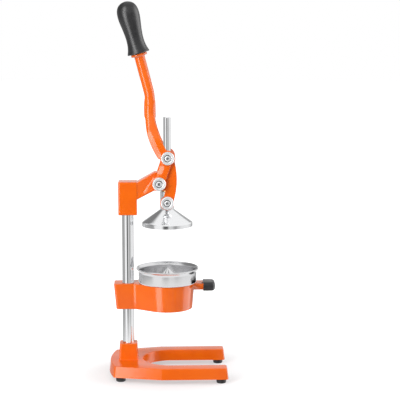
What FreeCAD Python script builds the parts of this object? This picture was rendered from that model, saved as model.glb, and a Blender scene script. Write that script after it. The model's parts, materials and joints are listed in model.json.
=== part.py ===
import FreeCAD, Part
import math
import os
from types import SimpleNamespace

import Sketcher
from FreeCAD import Vector

# Lever citrus juice press, in millimetres.
# The origin is the point of the floor under the press axis, +X runs to the open ends of the
# base legs, and +Z is up. The press is the same on both sides of the XZ plane. Left is the
# -Y side and right is the +Y side.

SIZES = {
    # Base casting and its feet
    "foot_height": 9.5,
    "foot_radius": 9.5,
    "foot_top_radius": 8.7,
    "foot_recess_radius": 5.4,
    "foot_recess_depth": 4.0,
    "foot_front_inset": 13.0,
    "foot_side_inset": 15.0,
    "foot_rear_inset": 22.5,
    "foot_corner_inset": 11.5,
    "foot_boss_radius": 10.5,
    "foot_break": 0.8,
    "foot_screw_radius": 2.5,
    "foot_screw_head_radius": 4.6,
    "foot_screw_head": 2.8,
    "foot_screw_bite": 11.0,
    "base_thick": 20.5,
    "base_draft": 7.0,
    "base_rear_reach": 110.5,
    "base_rear_bow": 10.0,
    "base_rear_half": 62.5,
    "base_knee_reach": 12.0,
    "base_half_width": 82.5,
    "base_front_reach": 111.5,
    "slot_radius": 51.0,
    "slot_centre": 6.5,
    "base_wall": 7.0,
    "base_roof": 6.5,
    "base_corner_round": 5.0,
    "base_edge_round": 1.6,
    "socket_length": 36.5,
    "socket_width": 33.0,
    "socket_draft": 3.0,
    "socket_edge_round": 1.4,
    "socket_height": 31.0,
    "socket_round": 3.5,
    "socket_floor": 36.0,
    "column_boss_radius": 19.0,
    "column_boss_drop": 9.0,
    # Column and its bolt
    "column_back": 74.0,
    "column_radius": 11.0,
    "column_cover": 8.0,
    "column_break": 1.0,
    "column_bolt_radius": 5.0,
    "column_bolt_bite": 22.0,
    "column_bolt_flats": 17.0,
    "column_bolt_head": 6.0,
    "column_washer_radius": 12.5,
    "column_washer_thick": 1.6,
    "fit_gap": 0.05,
    # Cup holder casting
    "holder_top": 177.0,
    "holder_tall": 49.0,
    "holder_draft": 5.0,
    "holder_rear_reach": 100.5,
    "holder_half_width": 19.0,
    "holder_flare_start": 62.0,
    "holder_radius": 51.0,
    "holder_bore": 44.5,
    "holder_ledge_radius": 40.0,
    "holder_ledge_depth": 17.0,
    "holder_corner_round": 4.0,
    "holder_flare_round": 16.0,
    "holder_edge_round": 1.4,
    "tongue_end": 84.0,
    "tongue_half_width": 16.5,
    "tongue_thick": 11.0,
    "tongue_drop": 1.0,
    "set_screw_radius": 3.0,
    "set_screw_length": 5.5,
    "set_screw_spread": 12.0,
    "set_screw_socket": 1.5,
    # Rubber cap on the tongue
    "cap_start": 67.0,
    "cap_end": 89.5,
    "cap_half_width": 20.0,
    "cap_wall": 2.8,
    "cap_nose_round": 6.0,
    "cap_round": 2.5,
    # Funnel, strainer cup and reamer
    "sheet": 1.2,
    "funnel_outlet_radius": 14.0,
    "funnel_spout": 8.0,
    "funnel_cone_drop": 18.0,
    "cup_rim_rise": 28.5,
    "cup_rim_radius": 59.0,
    "cup_wall_radius": 54.8,
    "cup_lip": 2.4,
    "cup_flare_drop": 5.5,
    "cup_corner_round": 8.0,
    "cup_seat_gap": 0.3,
    "cup_floor_drop": 7.0,
    "strain_hole_radius": 1.6,
    "strain_inner_ring": 33.6,
    "strain_outer_ring": 38.6,
    "strain_inner_count": 20,
    "strain_outer_count": 24,
    "reamer_radius": 29.5,
    "reamer_brim": 1.6,
    "reamer_height": 33.0,
    "reamer_core_radius": 22.0,
    "reamer_tip_radius": 4.0,
    "reamer_rib_count": 10,
    "reamer_rib_thick": 3.0,
    "reamer_screw_radius": 2.5,
    "reamer_screw_bite": 16.0,
    "reamer_screw_head": 2.6,
    "reamer_screw_head_radius": 5.0,
    # Press bell, neck and rod
    "bell_tall": 31.3,
    "bell_rim_radius": 47.5,
    "bell_lip": 7.5,
    "bell_drop": 14.2,
    "bell_sheet": 1.8,
    "neck_radius": 13.25,
    "neck_rise": 19.7,
    "neck_break": 1.2,
    "rod_radius": 7.0,
    "rod_rise": 158.3,
    "rod_break": 1.2,
    "rod_tail": 0.6,
    "bell_nut_flats": 21.0,
    "bell_nut_thick": 5.6,
    # Bracket at the head of the column
    "bracket_tall": 62.0,
    "bracket_rise": 2.2,
    "bracket_rear_reach": 91.0,
    "bracket_front_reach": 56.5,
    "bracket_half_width": 18.0,
    "bracket_round": 3.5,
    "arm_root_step": 1.5,
    "arm_root_tall": 31.5,
    "arm_root_half_width": 17.0,
    "arm_tip_reach": 24.0,
    "arm_tip_rise": 19.7,
    "arm_tip_tall": 34.0,
    "arm_tip_half_width": 13.0,
    "bracket_edge_round": 1.8,
    "guide_radius": 13.2,
    "guide_bore": 9.5,
    "bush_flange_radius": 11.6,
    "bush_flange_thick": 2.2,
    "ear_radius": 11.0,
    "ear_gap": 0.25,
    # Pivots of the linkage
    "main_back": 15.0,
    "main_height": 366.8,
    "upper_front": 1.0,
    "upper_rise": 47.6,
    "press_drop": 36.8,
    "pivot_bolt_radius": 4.5,
    "pivot_head_radius": 5.4,
    "pivot_head_tall": 4.6,
    "pivot_socket_radius": 2.6,
    "pivot_head_break": 0.6,
    "pivot_tip_gap": 0.2,
    "main_pin_inner": 8.0,
    "washer_radius": 12.3,
    "washer_thick": 4.4,
    "washer_recess_radius": 6.6,
    "washer_recess_depth": 3.6,
    "washer_break": 0.8,
    # Links, in layers outward from the middle plane
    "link_inner": 13.8,
    "link_thick": 6.0,
    "link_half_width": 9.8,
    "link_bow": 7.5,
    "link_upper_radius": 12.2,
    "link_lower_radius": 13.2,
    "layer_gap": 0.4,
    # Lever casting and its grip
    "cheek_thick": 6.8,
    "upper_ear_radius": 14.2,
    "main_ear_radius": 13.2,
    "cheek_half_width": 9.8,
    "arm_bend_radius": 150.0,
    "arm_bend_angle": 33.0,
    "arm_bend_rise": 85.6,
    "arm_line_back": 31.4,
    "arm_half_width": 10.8,
    "fork_wide_rise": 27.6,
    "fork_head_rise": 105.6,
    "fork_stem_half": 10.6,
    "fork_crotch_rise": 65.6,
    "fork_crotch_radius": 8.2,
    "arm_rear_round": 4.5,
    "cheek_bevel": 2.8,
    "stem_radius": 9.6,
    "stem_lap": 8.0,
    "stem_knee_rise": 114.6,
    "stem_knee_round": 60.0,
    "stem_tilt": 14.6,
    "stem_length": 74.0,
    "collar_radius": 15.0,
    "collar_thick": 5.0,
    "tang_radius": 6.5,
    "tang_length": 72.0,
    "grip_waist_radius": 15.9,
    "grip_waist": 27.0,
    "grip_lip_radius": 20.8,
    "grip_belly_radius": 20.4,
    "grip_belly": 71.0,
    "grip_length": 97.0,
    "grip_lip_break": 1.5,
    "grip_shoulder": 14.0,
    "grip_shoulder_level": 90.5,
}

doc = FreeCAD.newDocument("citrus_press")
sheet = doc.addObject("Spreadsheet::Sheet", "Sizes")
nodes = []


class Size:
    """A number that carries the sheet expression it comes from."""

    def __init__(self, value, text):
        self.value = value
        self.text = text

    def __add__(self, other):
        other = as_size(other)
        return Size(self.value + other.value, f"({self.text} + {other.text})")

    def __sub__(self, other):
        other = as_size(other)
        return Size(self.value - other.value, f"({self.text} - {other.text})")

    def __mul__(self, other):
        other = as_size(other)
        return Size(self.value * other.value, f"({self.text} * {other.text})")

    def __truediv__(self, other):
        other = as_size(other)
        return Size(self.value / other.value, f"({self.text} / {other.text})")

    def __neg__(self):
        return Size(-self.value, f"(0 - {self.text})")

    def __radd__(self, other):
        return as_size(other) + self

    def __rsub__(self, other):
        return as_size(other) - self

    def __rmul__(self, other):
        return as_size(other) * self


def as_size(thing):
    """Wrap a plain number, so that it can stand beside sizes from the sheet."""
    return thing if isinstance(thing, Size) else Size(thing, f"{thing}")


def root(size):
    """Square root."""
    return Size(math.sqrt(size.value), f"sqrt({size.text})")


def sine(size):
    """Sine of an angle in degrees."""
    return Size(math.sin(math.radians(size.value)), f"sin({size.text})")


def cosine(size):
    """Cosine of an angle in degrees."""
    return Size(math.cos(math.radians(size.value)), f"cos({size.text})")


def tangent(size):
    """Tangent of an angle in degrees."""
    return Size(math.tan(math.radians(size.value)), f"tan({size.text})")


def slope_angle(rise, run):
    """Angle in degrees whose tangent is rise over run."""
    degrees = math.degrees(math.atan(rise.value / run.value))
    return Size(degrees, f"atan({rise.text} / {run.text})")


def fill_sheet():
    """Write every driving dimension to the sheet and hand them back by name."""
    for row, (name, value) in enumerate(SIZES.items(), start=1):
        sheet.set(f"A{row}", name)
        sheet.set(f"B{row}", str(value))
        sheet.setAlias(f"B{row}", name)
    doc.recompute()
    return SimpleNamespace(**{name: Size(value, f"Sizes.{name}") for name, value in SIZES.items()})


size = fill_sheet()


def bind(item, place, value):
    """Tie one property to the sheet."""
    item.setExpression(place, as_size(value).text)


def new_body(label, x=0, y=0, z=0):
    """An empty body that stands at a place given by the sheet."""
    body = doc.addObject("PartDesign::Body", label)
    body.Label = label
    bind(body, "Placement.Base.x", x)
    bind(body, "Placement.Base.y", y)
    bind(body, "Placement.Base.z", z)
    return body


def keep(item):
    """Count an object as one sub-part of the press."""
    nodes.append(item)
    return item


def arc_to(x, y, radius, turn="left"):
    """A corner that is reached along an arc, with its centre on the left or right of the way."""
    return (x, y, radius, turn)


def new_sketch(body, name, plane, offset=0):
    """An empty sketch on one of the body's own planes."""
    sketch = body.newObject("Sketcher::SketchObject", name)
    support = [item for item in body.Origin.OriginFeatures if item.Role == plane]
    sketch.AttachmentSupport = [(support[0], "")]
    sketch.MapMode = "FlatFace"
    bind(sketch, "AttachmentOffset.Base.z", offset)
    return sketch


def hold_point(sketch, edge, end, x, y):
    """Fix a point of a sketch by two sizes, or by an axis where a size is nought."""
    for kind, value, axis in (("DistanceX", as_size(x), -2), ("DistanceY", as_size(y), -1)):
        if value.text == "0":
            sketch.addConstraint(Sketcher.Constraint("PointOnObject", edge, end, axis))
        else:
            rule = Sketcher.Constraint(kind, -1, 1, edge, end, value.value)
            index = sketch.addConstraint(rule)
            sketch.setExpression(f"Constraints[{index}]", value.text)


def arc_edge(start, end, radius, turn):
    """Arc of a circle between two points."""
    chord = end - start
    across = Vector(-chord.y, chord.x, 0).normalize()
    depth = math.sqrt(radius ** 2 - (chord.Length / 2) ** 2)
    centre = (start + end) / 2 + across * (depth if turn == "left" else -depth)
    first, last = (start, end) if turn == "left" else (end, start)
    angles = [math.atan2(point.y - centre.y, point.x - centre.x) for point in (first, last)]
    circle = Part.Circle(centre, Vector(0, 0, 1), radius)
    return Part.ArcOfCircle(circle, angles[0], angles[1])


def add_loop(sketch, corners):
    """Draw one closed outline whose corners and radii are all held by sizes."""
    spots = [Vector(as_size(corner[0]).value, as_size(corner[1]).value, 0) for corner in corners]
    ends = []
    for index, corner in enumerate(corners):
        start, end = spots[index - 1], spots[index]
        if len(corner) == 2:
            edge = sketch.addGeometry(Part.LineSegment(start, end))
            ends.append((edge, 1, 2))
        else:
            radius, turn = as_size(corner[2]), corner[3]
            edge = sketch.addGeometry(arc_edge(start, end, radius.value, turn))
            ends.append((edge, 1, 2) if turn == "left" else (edge, 2, 1))
            rule = sketch.addConstraint(Sketcher.Constraint("Radius", edge, radius.value))
            sketch.setExpression(f"Constraints[{rule}]", radius.text)
    for index, corner in enumerate(corners):
        edge, _, last = ends[index]
        follower, first, _ = ends[(index + 1) % len(corners)]
        sketch.addConstraint(Sketcher.Constraint("Coincident", edge, last, follower, first))
        hold_point(sketch, edge, last, corner[0], corner[1])


def add_circle(sketch, x, y, radius):
    """Draw one circle whose centre and radius are held by sizes."""
    x, y, radius = as_size(x), as_size(y), as_size(radius)
    centre = Vector(x.value, y.value, 0)
    edge = sketch.addGeometry(Part.Circle(centre, Vector(0, 0, 1), radius.value))
    rule = sketch.addConstraint(Sketcher.Constraint("Radius", edge, radius.value))
    sketch.setExpression(f"Constraints[{rule}]", radius.text)
    hold_point(sketch, edge, 3, x, y)


def outline(body, name, plane, *loops, offset=0):
    """A sketch of one or more closed outlines."""
    sketch = new_sketch(body, name, plane, offset)
    for corners in loops:
        add_loop(sketch, corners)
    return sketch


def circles(body, name, plane, *rounds, offset=0):
    """A sketch of one or more circles."""
    sketch = new_sketch(body, name, plane, offset)
    for x, y, radius in rounds:
        add_circle(sketch, x, y, radius)
    return sketch


def extrude(body, kind, sketch, length, name, reverse=False, both=False, draft=None):
    """Pad or pocket a sketch by a length, or all the way when the length is None."""
    feature = body.newObject(f"PartDesign::{kind}", name)
    feature.Profile = sketch
    feature.Reversed = reverse
    if both:
        feature.SideType = "Symmetric"
    if length is None:
        feature.Type = "ThroughAll"
    else:
        bind(feature, "Length", length)
    if draft is not None:
        bind(feature, "TaperAngle", draft)
    sketch.Visibility = False
    return feature


def pad(body, sketch, length, name, **how):
    """Add a sketch's prism."""
    return extrude(body, "Pad", sketch, length, name, **how)


def pocket(body, sketch, length, name, **how):
    """Cut a sketch's prism, and make sure that it took something away."""
    doc.recompute()
    before = body.Shape.Volume
    feature = extrude(body, "Pocket", sketch, length, name, **how)
    doc.recompute()
    if not feature.Shape.Volume < before:
        raise RuntimeError(f"{body.Label}: {name} cuts nothing")
    return feature


def spin(body, kind, sketch, name):
    """Turn a sketch all the way round its upright axis."""
    feature = body.newObject(f"PartDesign::{kind}", name)
    feature.Profile = sketch
    feature.ReferenceAxis = (sketch, ["V_Axis"])
    feature.Angle = 360
    sketch.Visibility = False
    return feature


def groove(body, sketch, name):
    """Cut a turned shape, and make sure that it took something away."""
    doc.recompute()
    before = body.Shape.Volume
    feature = spin(body, "Groove", sketch, name)
    doc.recompute()
    if not feature.Shape.Volume < before:
        raise RuntimeError(f"{body.Label}: {name} cuts nothing")
    return feature


def turned_body(label, corners, x=0, y=0, z=0, plane="XZ_Plane"):
    """A body turned from one outline of radius against height."""
    body = new_body(label, x, y, z)
    spin(body, "Revolution", outline(body, f"{label}_outline", plane, corners), f"{label}_turned")
    return body


def ease(body, kind, amount, name, test):
    """Fillet or chamfer every edge of the body that passes a test."""
    doc.recompute()
    base = body.Tip
    names = [f"Edge{i}" for i, edge in enumerate(base.Shape.Edges, start=1) if test(edge)]
    if not names:
        raise RuntimeError(f"{body.Label}: {name} finds no edge")
    feature = body.newObject(f"PartDesign::{kind}", name)
    feature.Base = (base, names)
    bind(feature, "Radius" if kind == "Fillet" else "Size", amount)
    return feature


def repeat_round(body, feature, count, name, axis="Z_Axis"):
    """Repeat one feature around an axis of the body."""
    pattern = body.newObject("PartDesign::PolarPattern", name)
    pattern.Originals = [feature]
    support = [item for item in body.Origin.OriginFeatures if item.Role == axis]
    pattern.Axis = (support[0], [""])
    pattern.Angle = 360
    bind(pattern, "Occurrences", count)
    body.Tip = pattern
    return pattern


def near(first, second):
    """Whether two plain numbers are the same place on the model."""
    return abs(first - as_size(second).value) < 0.02


def hexagon(flats, x=0, y=0):
    """Corners of a hexagon with a given width across its flats."""
    reach = flats / (2 * cosine(as_size(30)))
    angles = [as_size(60 * turn) for turn in range(6)]
    return [(x + reach * cosine(angle), y + reach * sine(angle)) for angle in angles]


def rectangle(low_x, high_x, low_y, high_y):
    """Corners of an upright rectangle."""
    return [(low_x, low_y), (high_x, low_y), (high_x, high_y), (low_x, high_y)]


def group(label, bodies):
    """One sub-part made of separate like pieces."""
    compound = doc.addObject("Part::Compound", label)
    compound.Label = label
    compound.Links = bodies
    return keep(compound)


def turn_about_y(body, degrees):
    """Tilt a body about its own Y axis by an angle from the sheet."""
    place = body.Placement
    place.Rotation = FreeCAD.Rotation(Vector(0, 1, 0), as_size(degrees).value)
    body.Placement = place
    bind(body, "Placement.Rotation.Angle", degrees)


# Feet stand in from the edges of the base
foot_front_reach = size.base_front_reach - size.foot_front_inset
foot_front_spread = size.base_half_width - size.foot_side_inset
foot_rear_reach = size.base_rear_reach - size.foot_rear_inset
foot_rear_spread = size.base_rear_half - size.foot_corner_inset

# Heights of the linkage, bracket, bell and lever, all from the main pivot
upper_height = size.main_height + size.upper_rise
press_height = size.main_height - size.press_drop
bracket_top = size.main_height + size.bracket_rise
bracket_foot = bracket_top - size.bracket_tall
column_top = bracket_top - size.column_cover
arm_root_top = bracket_top - size.arm_root_step
arm_root_foot = arm_root_top - size.arm_root_tall
arm_tip_top = size.main_height + size.arm_tip_rise
arm_tip_foot = arm_tip_top - size.arm_tip_tall
neck_top = press_height + size.neck_rise
bell_top_height = press_height - size.bell_drop
bell_rim_height = bell_top_height - size.bell_tall
rod_top = press_height + size.rod_rise
fork_wide_top = upper_height + size.fork_wide_rise
fork_crotch = upper_height + size.fork_crotch_rise
arm_bend_height = upper_height + size.arm_bend_rise
fork_head = upper_height + size.fork_head_rise
stem_knee_height = upper_height + size.stem_knee_rise

# Levels and layers that several pieces share
cup_rim_height = size.holder_top + size.cup_rim_rise
base_top = size.foot_height + size.base_thick
socket_top = base_top + size.socket_height
holder_foot = size.holder_top - size.holder_tall
ledge_level = size.holder_top - size.holder_ledge_depth
cup_floor = size.holder_top - size.cup_floor_drop
reamer_foot = cup_floor + size.sheet
reamer_brim_top = reamer_foot + size.reamer_brim
reamer_top = reamer_foot + size.reamer_height
tongue_top = size.holder_top - size.tongue_drop
bell_underside = bell_top_height - size.bell_sheet
cheek_inner = size.link_inner + size.link_thick + size.layer_gap
cheek_outer = cheek_inner + size.cheek_thick
stem_lean = size.stem_tilt


def base_plan(inset):
    """Plan of the base: bowed rear, sides that spread to the knee, two straight legs."""
    rear = inset - size.base_rear_reach
    corner = rear + size.base_rear_bow
    rear_half = size.base_rear_half - inset
    half = size.base_half_width - inset
    front = size.base_front_reach - inset
    slot = size.slot_radius + inset
    bow = (rear_half * rear_half + size.base_rear_bow * size.base_rear_bow) / (2 * size.base_rear_bow)
    return [
        arc_to(corner, -rear_half, bow),
        (-size.base_knee_reach, -half),
        (front, -half),
        (front, -slot),
        (size.slot_centre, -slot),
        arc_to(size.slot_centre - slot, 0, slot, "right"),
        arc_to(size.slot_centre, slot, slot, "right"),
        (front, slot),
        (front, half),
        (-size.base_knee_reach, half),
        (corner, rear_half),
        arc_to(rear, 0, bow),
    ]


def foot_places():
    """Name, reach and spread of each foot."""
    rows = (("front", foot_front_reach, foot_front_spread),
            ("rear", -foot_rear_reach, foot_rear_spread))
    for row, reach, spread in rows:
        yield f"{row}_left", reach, -spread
        yield f"{row}_right", reach, spread


def make_base():
    """Fork-shaped casting, hollow below, with the socket that holds the column."""
    body = keep(new_body("base"))
    plan = outline(body, "base_plan", "XY_Plane", base_plan(as_size(0)), offset=size.foot_height)
    pad(body, plan, size.base_thick, "base_slab", draft=-size.base_draft)
    ease(body, "Fillet", size.base_corner_round, "base_corners",
         lambda edge: edge.BoundBox.ZLength > size.base_thick.value / 2
         and abs(edge.CenterOfMass.y) > size.base_half_width.value / 2
         and not near(abs(edge.CenterOfMass.x - size.slot_centre.value), 0))
    ease(body, "Fillet", size.base_edge_round, "base_top_edge",
         lambda edge: near(edge.BoundBox.ZMin, base_top) and near(edge.BoundBox.ZMax, base_top))
    hollow = outline(body, "base_hollow_plan", "XY_Plane", base_plan(size.base_wall),
                     offset=size.foot_height)
    pocket(body, hollow, size.base_thick - size.base_roof, "base_hollow", reverse=True)
    bosses = circles(body, "foot_boss_plan", "XY_Plane",
                     *[(x, y, size.foot_boss_radius) for _, x, y in foot_places()],
                     offset=size.foot_height)
    pad(body, bosses, size.base_thick - size.base_roof / 2, "foot_bosses")
    boss_level = size.foot_height + size.column_boss_drop
    boss = circles(body, "column_boss_plan", "XY_Plane",
                   (-size.column_back, 0, size.column_boss_radius), offset=boss_level)
    pad(body, boss, base_top - size.base_roof / 2 - boss_level, "column_boss")
    half_length, half_width = size.socket_length / 2, size.socket_width / 2
    plan = outline(body, "socket_plan", "XY_Plane",
                   rectangle(-size.column_back - half_length, -size.column_back + half_length,
                             -half_width, half_width), offset=base_top - size.base_roof / 2)
    pad(body, plan, size.socket_height + size.base_roof / 2, "socket", draft=-size.socket_draft)
    ease(body, "Fillet", size.socket_round, "socket_corners",
         lambda edge: edge.BoundBox.ZMax > socket_top.value - 1
         and edge.BoundBox.ZLength > size.socket_height.value / 2)
    ease(body, "Fillet", size.socket_edge_round, "socket_edges",
         lambda edge: near(edge.BoundBox.ZMin, socket_top) or (
             near(edge.BoundBox.ZMin, base_top) and near(edge.BoundBox.ZMax, base_top)
             and abs(edge.CenterOfMass.x + size.column_back.value) < size.socket_length.value
             and abs(edge.CenterOfMass.y) < size.socket_width.value))
    bore = circles(body, "column_bore_plan", "XY_Plane",
                   (-size.column_back, 0, size.column_radius + size.fit_gap), offset=socket_top)
    pocket(body, bore, socket_top - size.socket_floor, "column_bore")
    hole = circles(body, "column_bolt_plan", "XY_Plane",
                   (-size.column_back, 0, size.column_bolt_radius + size.fit_gap),
                   offset=size.socket_floor)
    pocket(body, hole, None, "column_bolt_hole")
    taps = circles(body, "foot_tap_plan", "XY_Plane",
                   *[(x, y, size.foot_screw_radius + size.fit_gap) for _, x, y in foot_places()],
                   offset=size.foot_height)
    pocket(body, taps, size.foot_screw_bite + size.fit_gap, "foot_taps", reverse=True)


def make_feet():
    """Four rubber feet, each with its screw in a recess."""
    screws = []
    hole = size.foot_screw_radius + size.fit_gap
    for place, x, y in foot_places():
        keep(turned_body(f"foot_{place}", [
            (hole, size.foot_recess_depth),
            (size.foot_recess_radius, size.foot_recess_depth),
            (size.foot_recess_radius, 0),
            (size.foot_radius - size.foot_break, 0),
            (size.foot_radius, size.foot_break),
            (size.foot_top_radius, size.foot_height),
            (hole, size.foot_height),
        ], x, y))
        head = size.foot_recess_depth - size.foot_screw_head
        screws.append(turned_body(f"foot_screw_{place}", [
            (0, head),
            (size.foot_screw_head_radius, head),
            (size.foot_screw_head_radius, size.foot_recess_depth),
            (size.foot_screw_radius, size.foot_recess_depth),
            (size.foot_screw_radius, size.foot_height + size.foot_screw_bite),
            (0, size.foot_height + size.foot_screw_bite),
        ], x, y))
    group("foot_screws", screws)


def make_column():
    """Chromed bar, tapped at its foot for the bolt that clamps it in the base."""
    inner = size.column_radius - size.column_break
    tap = size.column_bolt_radius + size.fit_gap
    tap_top = size.socket_floor + size.column_bolt_bite + size.column_break
    keep(turned_body("column", [
        (tap, size.socket_floor),
        (inner, size.socket_floor),
        (size.column_radius, size.socket_floor + size.column_break),
        (size.column_radius, column_top - size.column_break),
        (inner, column_top),
        (0, column_top),
        (0, tap_top),
        (tap, tap_top),
    ], -size.column_back))


def make_column_bolt():
    """Hexagon bolt and washer that pull the column down into its socket."""
    seat = size.foot_height + size.column_boss_drop
    washer_foot = seat - size.column_washer_thick
    keep(turned_body("column_washer", [
        (size.column_bolt_radius + size.fit_gap, washer_foot),
        (size.column_washer_radius, washer_foot),
        (size.column_washer_radius, seat),
        (size.column_bolt_radius + size.fit_gap, seat),
    ], -size.column_back))
    body = keep(turned_body("column_bolt", [
        (0, washer_foot),
        (size.column_bolt_radius, washer_foot),
        (size.column_bolt_radius, size.socket_floor + size.column_bolt_bite),
        (0, size.socket_floor + size.column_bolt_bite),
    ], -size.column_back))
    head = outline(body, "column_bolt_head_plan", "XY_Plane", hexagon(size.column_bolt_flats),
                   offset=washer_foot)
    pad(body, head, size.column_bolt_head, "column_bolt_head", reverse=True)


def holder_plan():
    """Plan of the holder: a block round the column that flares into the ring."""
    reach, half, ring = size.holder_flare_start, size.holder_half_width, size.holder_radius
    span = reach * reach + half * half
    along = ring * ring / span
    across = ring * root(span - ring * ring) / span
    touch_x = across * half - along * reach
    touch_y = along * half + across * reach
    rear = -size.holder_rear_reach
    return [
        (rear, -half),
        (-reach, -half),
        (touch_x, -touch_y),
        arc_to(0, -ring, ring),
        arc_to(ring, 0, ring),
        arc_to(0, ring, ring),
        arc_to(touch_x, touch_y, ring),
        (-reach, half),
        (rear, half),
    ]


def set_screw_levels():
    """Rear face and height of each set screw, on the holder and on the bracket."""
    middle = size.holder_top - size.holder_tall / 2
    block = (bracket_foot + column_top) / 2
    for place, level in (("holder", middle), ("bracket", block)):
        yield f"{place}_lower", level - size.set_screw_spread
        yield f"{place}_upper", level + size.set_screw_spread


def cut_set_screw_holes(body, place, reach):
    """Tapped holes from the rear face of a casting to the column."""
    spots = [(0, level, size.set_screw_radius + size.fit_gap)
             for name, level in set_screw_levels() if name.startswith(place)]
    plan = circles(body, f"{place}_set_screw_plan", "YZ_Plane", *spots, offset=-reach)
    pocket(body, plan, reach - size.column_back, f"{place}_set_screw_holes", reverse=True)


def make_cup_holder():
    """Casting that grips the column and carries the cup in a ring, with a tongue in front."""
    body = keep(new_body("cup_holder"))
    plan = outline(body, "holder_plan", "XY_Plane", holder_plan(), offset=size.holder_top)
    pad(body, plan, size.holder_tall, "holder_block", reverse=True, draft=-size.holder_draft)
    ease(body, "Fillet", size.holder_corner_round, "holder_rear_corners",
         lambda edge: edge.BoundBox.ZLength > size.holder_tall.value / 2
         and edge.CenterOfMass.x < -size.column_back.value - size.column_radius.value)
    ease(body, "Fillet", size.holder_flare_round, "holder_flare",
         lambda edge: edge.BoundBox.ZLength > size.holder_tall.value / 2
         and any(near(abs(end.X), size.holder_flare_start) for end in edge.Vertexes))
    tongue = outline(body, "tongue_plan", "XY_Plane",
                     rectangle(size.holder_bore + size.sheet, size.tongue_end,
                               -size.tongue_half_width, size.tongue_half_width),
                     offset=tongue_top)
    pad(body, tongue, size.tongue_thick, "tongue", reverse=True)
    ease(body, "Fillet", size.holder_edge_round, "holder_edges",
         lambda edge: (near(edge.BoundBox.ZMin, size.holder_top)
                       or near(edge.BoundBox.ZMax, holder_foot))
         and edge.BoundBox.ZLength < 1)
    bore = outline(body, "ring_bore_profile", "XZ_Plane", [
        (0, holder_foot - 1),
        (size.holder_ledge_radius, holder_foot - 1),
        (size.holder_ledge_radius, ledge_level),
        (size.holder_bore, ledge_level),
        (size.holder_bore, size.holder_top + 1),
        (0, size.holder_top + 1),
    ])
    groove(body, bore, "ring_bore")
    column = circles(body, "holder_column_plan", "XY_Plane",
                     (-size.column_back, 0, size.column_radius + size.fit_gap),
                     offset=size.holder_top)
    pocket(body, column, None, "holder_column_bore")
    cut_set_screw_holes(body, "holder", size.holder_rear_reach)


def make_set_screws():
    """Grub screws that lock the holder and the bracket on the column."""
    screws = []
    for place, level in set_screw_levels():
        body = new_body(f"set_screw_{place}", -size.column_back - size.column_radius, 0, level)
        turn_about_y(body, -90)
        plan = circles(body, f"set_screw_{place}_plan", "XY_Plane", (0, 0, size.set_screw_radius))
        pad(body, plan, size.set_screw_length, f"set_screw_{place}_shank")
        key = outline(body, f"set_screw_{place}_key_plan", "XY_Plane",
                      hexagon(2 * size.set_screw_socket), offset=size.set_screw_length)
        pocket(body, key, size.set_screw_length / 2, f"set_screw_{place}_key")
        screws.append(body)
    group("set_screws", screws)


def make_bumper_cap():
    """Rubber cap pushed over the tongue, where the lowered lever comes to rest."""
    body = keep(new_body("bumper_cap"))
    tongue_foot = tongue_top - size.tongue_thick
    plan = outline(body, "cap_plan", "XY_Plane",
                   rectangle(size.cap_start, size.cap_end, -size.cap_half_width,
                             size.cap_half_width), offset=tongue_foot - size.cap_wall)
    pad(body, plan, size.tongue_thick + 2 * size.cap_wall, "cap_block")
    ease(body, "Fillet", size.cap_nose_round, "cap_nose",
         lambda edge: edge.BoundBox.ZLength > size.tongue_thick.value
         and near(edge.CenterOfMass.x, size.cap_end))
    ease(body, "Fillet", size.cap_round, "cap_edges",
         lambda edge: edge.BoundBox.ZLength < 1
         and not near(edge.CenterOfMass.x, size.cap_start))
    tongue = outline(body, "cap_mouth_plan", "YZ_Plane",
                     rectangle(-size.tongue_half_width, size.tongue_half_width,
                               tongue_foot, tongue_top), offset=size.cap_start)
    pocket(body, tongue, size.tongue_end - size.cap_start, "cap_mouth", reverse=True)


def make_juice_funnel():
    """Spun steel funnel that hangs in the ring by its flange and leads juice to the glass."""
    rim = size.holder_bore - size.cup_seat_gap
    neck = size.holder_ledge_radius - size.cup_seat_gap
    mouth = ledge_level - size.funnel_cone_drop
    outlet = size.funnel_outlet_radius
    keep(turned_body("juice_funnel", [
        (rim, ledge_level),
        (rim, ledge_level + size.sheet),
        (neck, ledge_level + size.sheet),
        (outlet, mouth + size.sheet),
        (outlet, mouth - size.funnel_spout),
        (outlet + size.sheet, mouth - size.funnel_spout),
        (outlet + size.sheet, mouth),
        (neck, ledge_level),
    ]))


def make_strainer_cup():
    """Steel cup with a flared rim; it stands on the ring and its pierced floor hangs inside."""
    step = size.holder_bore - size.cup_seat_gap
    wall, corner, sheet_gauge = size.cup_wall_radius, size.cup_corner_round, size.sheet
    bend = size.holder_top + corner
    flare = cup_rim_height - size.cup_flare_drop
    rim, top = size.cup_rim_radius, cup_rim_height
    body = keep(turned_body("strainer_cup", [
        (0, cup_floor),
        (step, cup_floor),
        (step, size.holder_top),
        (wall - corner, size.holder_top),
        arc_to(wall, bend, corner),
        (wall, flare),
        (rim, top - size.cup_lip),
        (rim, top),
        (rim - sheet_gauge, top),
        (rim - sheet_gauge, top - size.cup_lip + sheet_gauge),
        (wall - sheet_gauge, flare + sheet_gauge),
        (wall - sheet_gauge, bend),
        arc_to(wall - corner, size.holder_top + sheet_gauge, corner - sheet_gauge, "right"),
        (step - sheet_gauge, size.holder_top + sheet_gauge),
        (step - sheet_gauge, reamer_foot),
        (0, reamer_foot),
    ]))
    hole = circles(body, "cup_screw_plan", "XY_Plane",
                   (0, 0, size.reamer_screw_radius + size.fit_gap), offset=reamer_foot)
    pocket(body, hole, sheet_gauge, "cup_screw_hole")
    rings = (("inner", size.strain_inner_ring, size.strain_inner_count),
             ("outer", size.strain_outer_ring, size.strain_outer_count))
    for ring, reach, count in rings:
        plan = circles(body, f"strain_{ring}_plan", "XY_Plane",
                       (reach, 0, size.strain_hole_radius), offset=reamer_foot)
        first = pocket(body, plan, sheet_gauge, f"strain_{ring}_hole")
        repeat_round(body, first, count, f"strain_{ring}_holes")


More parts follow.
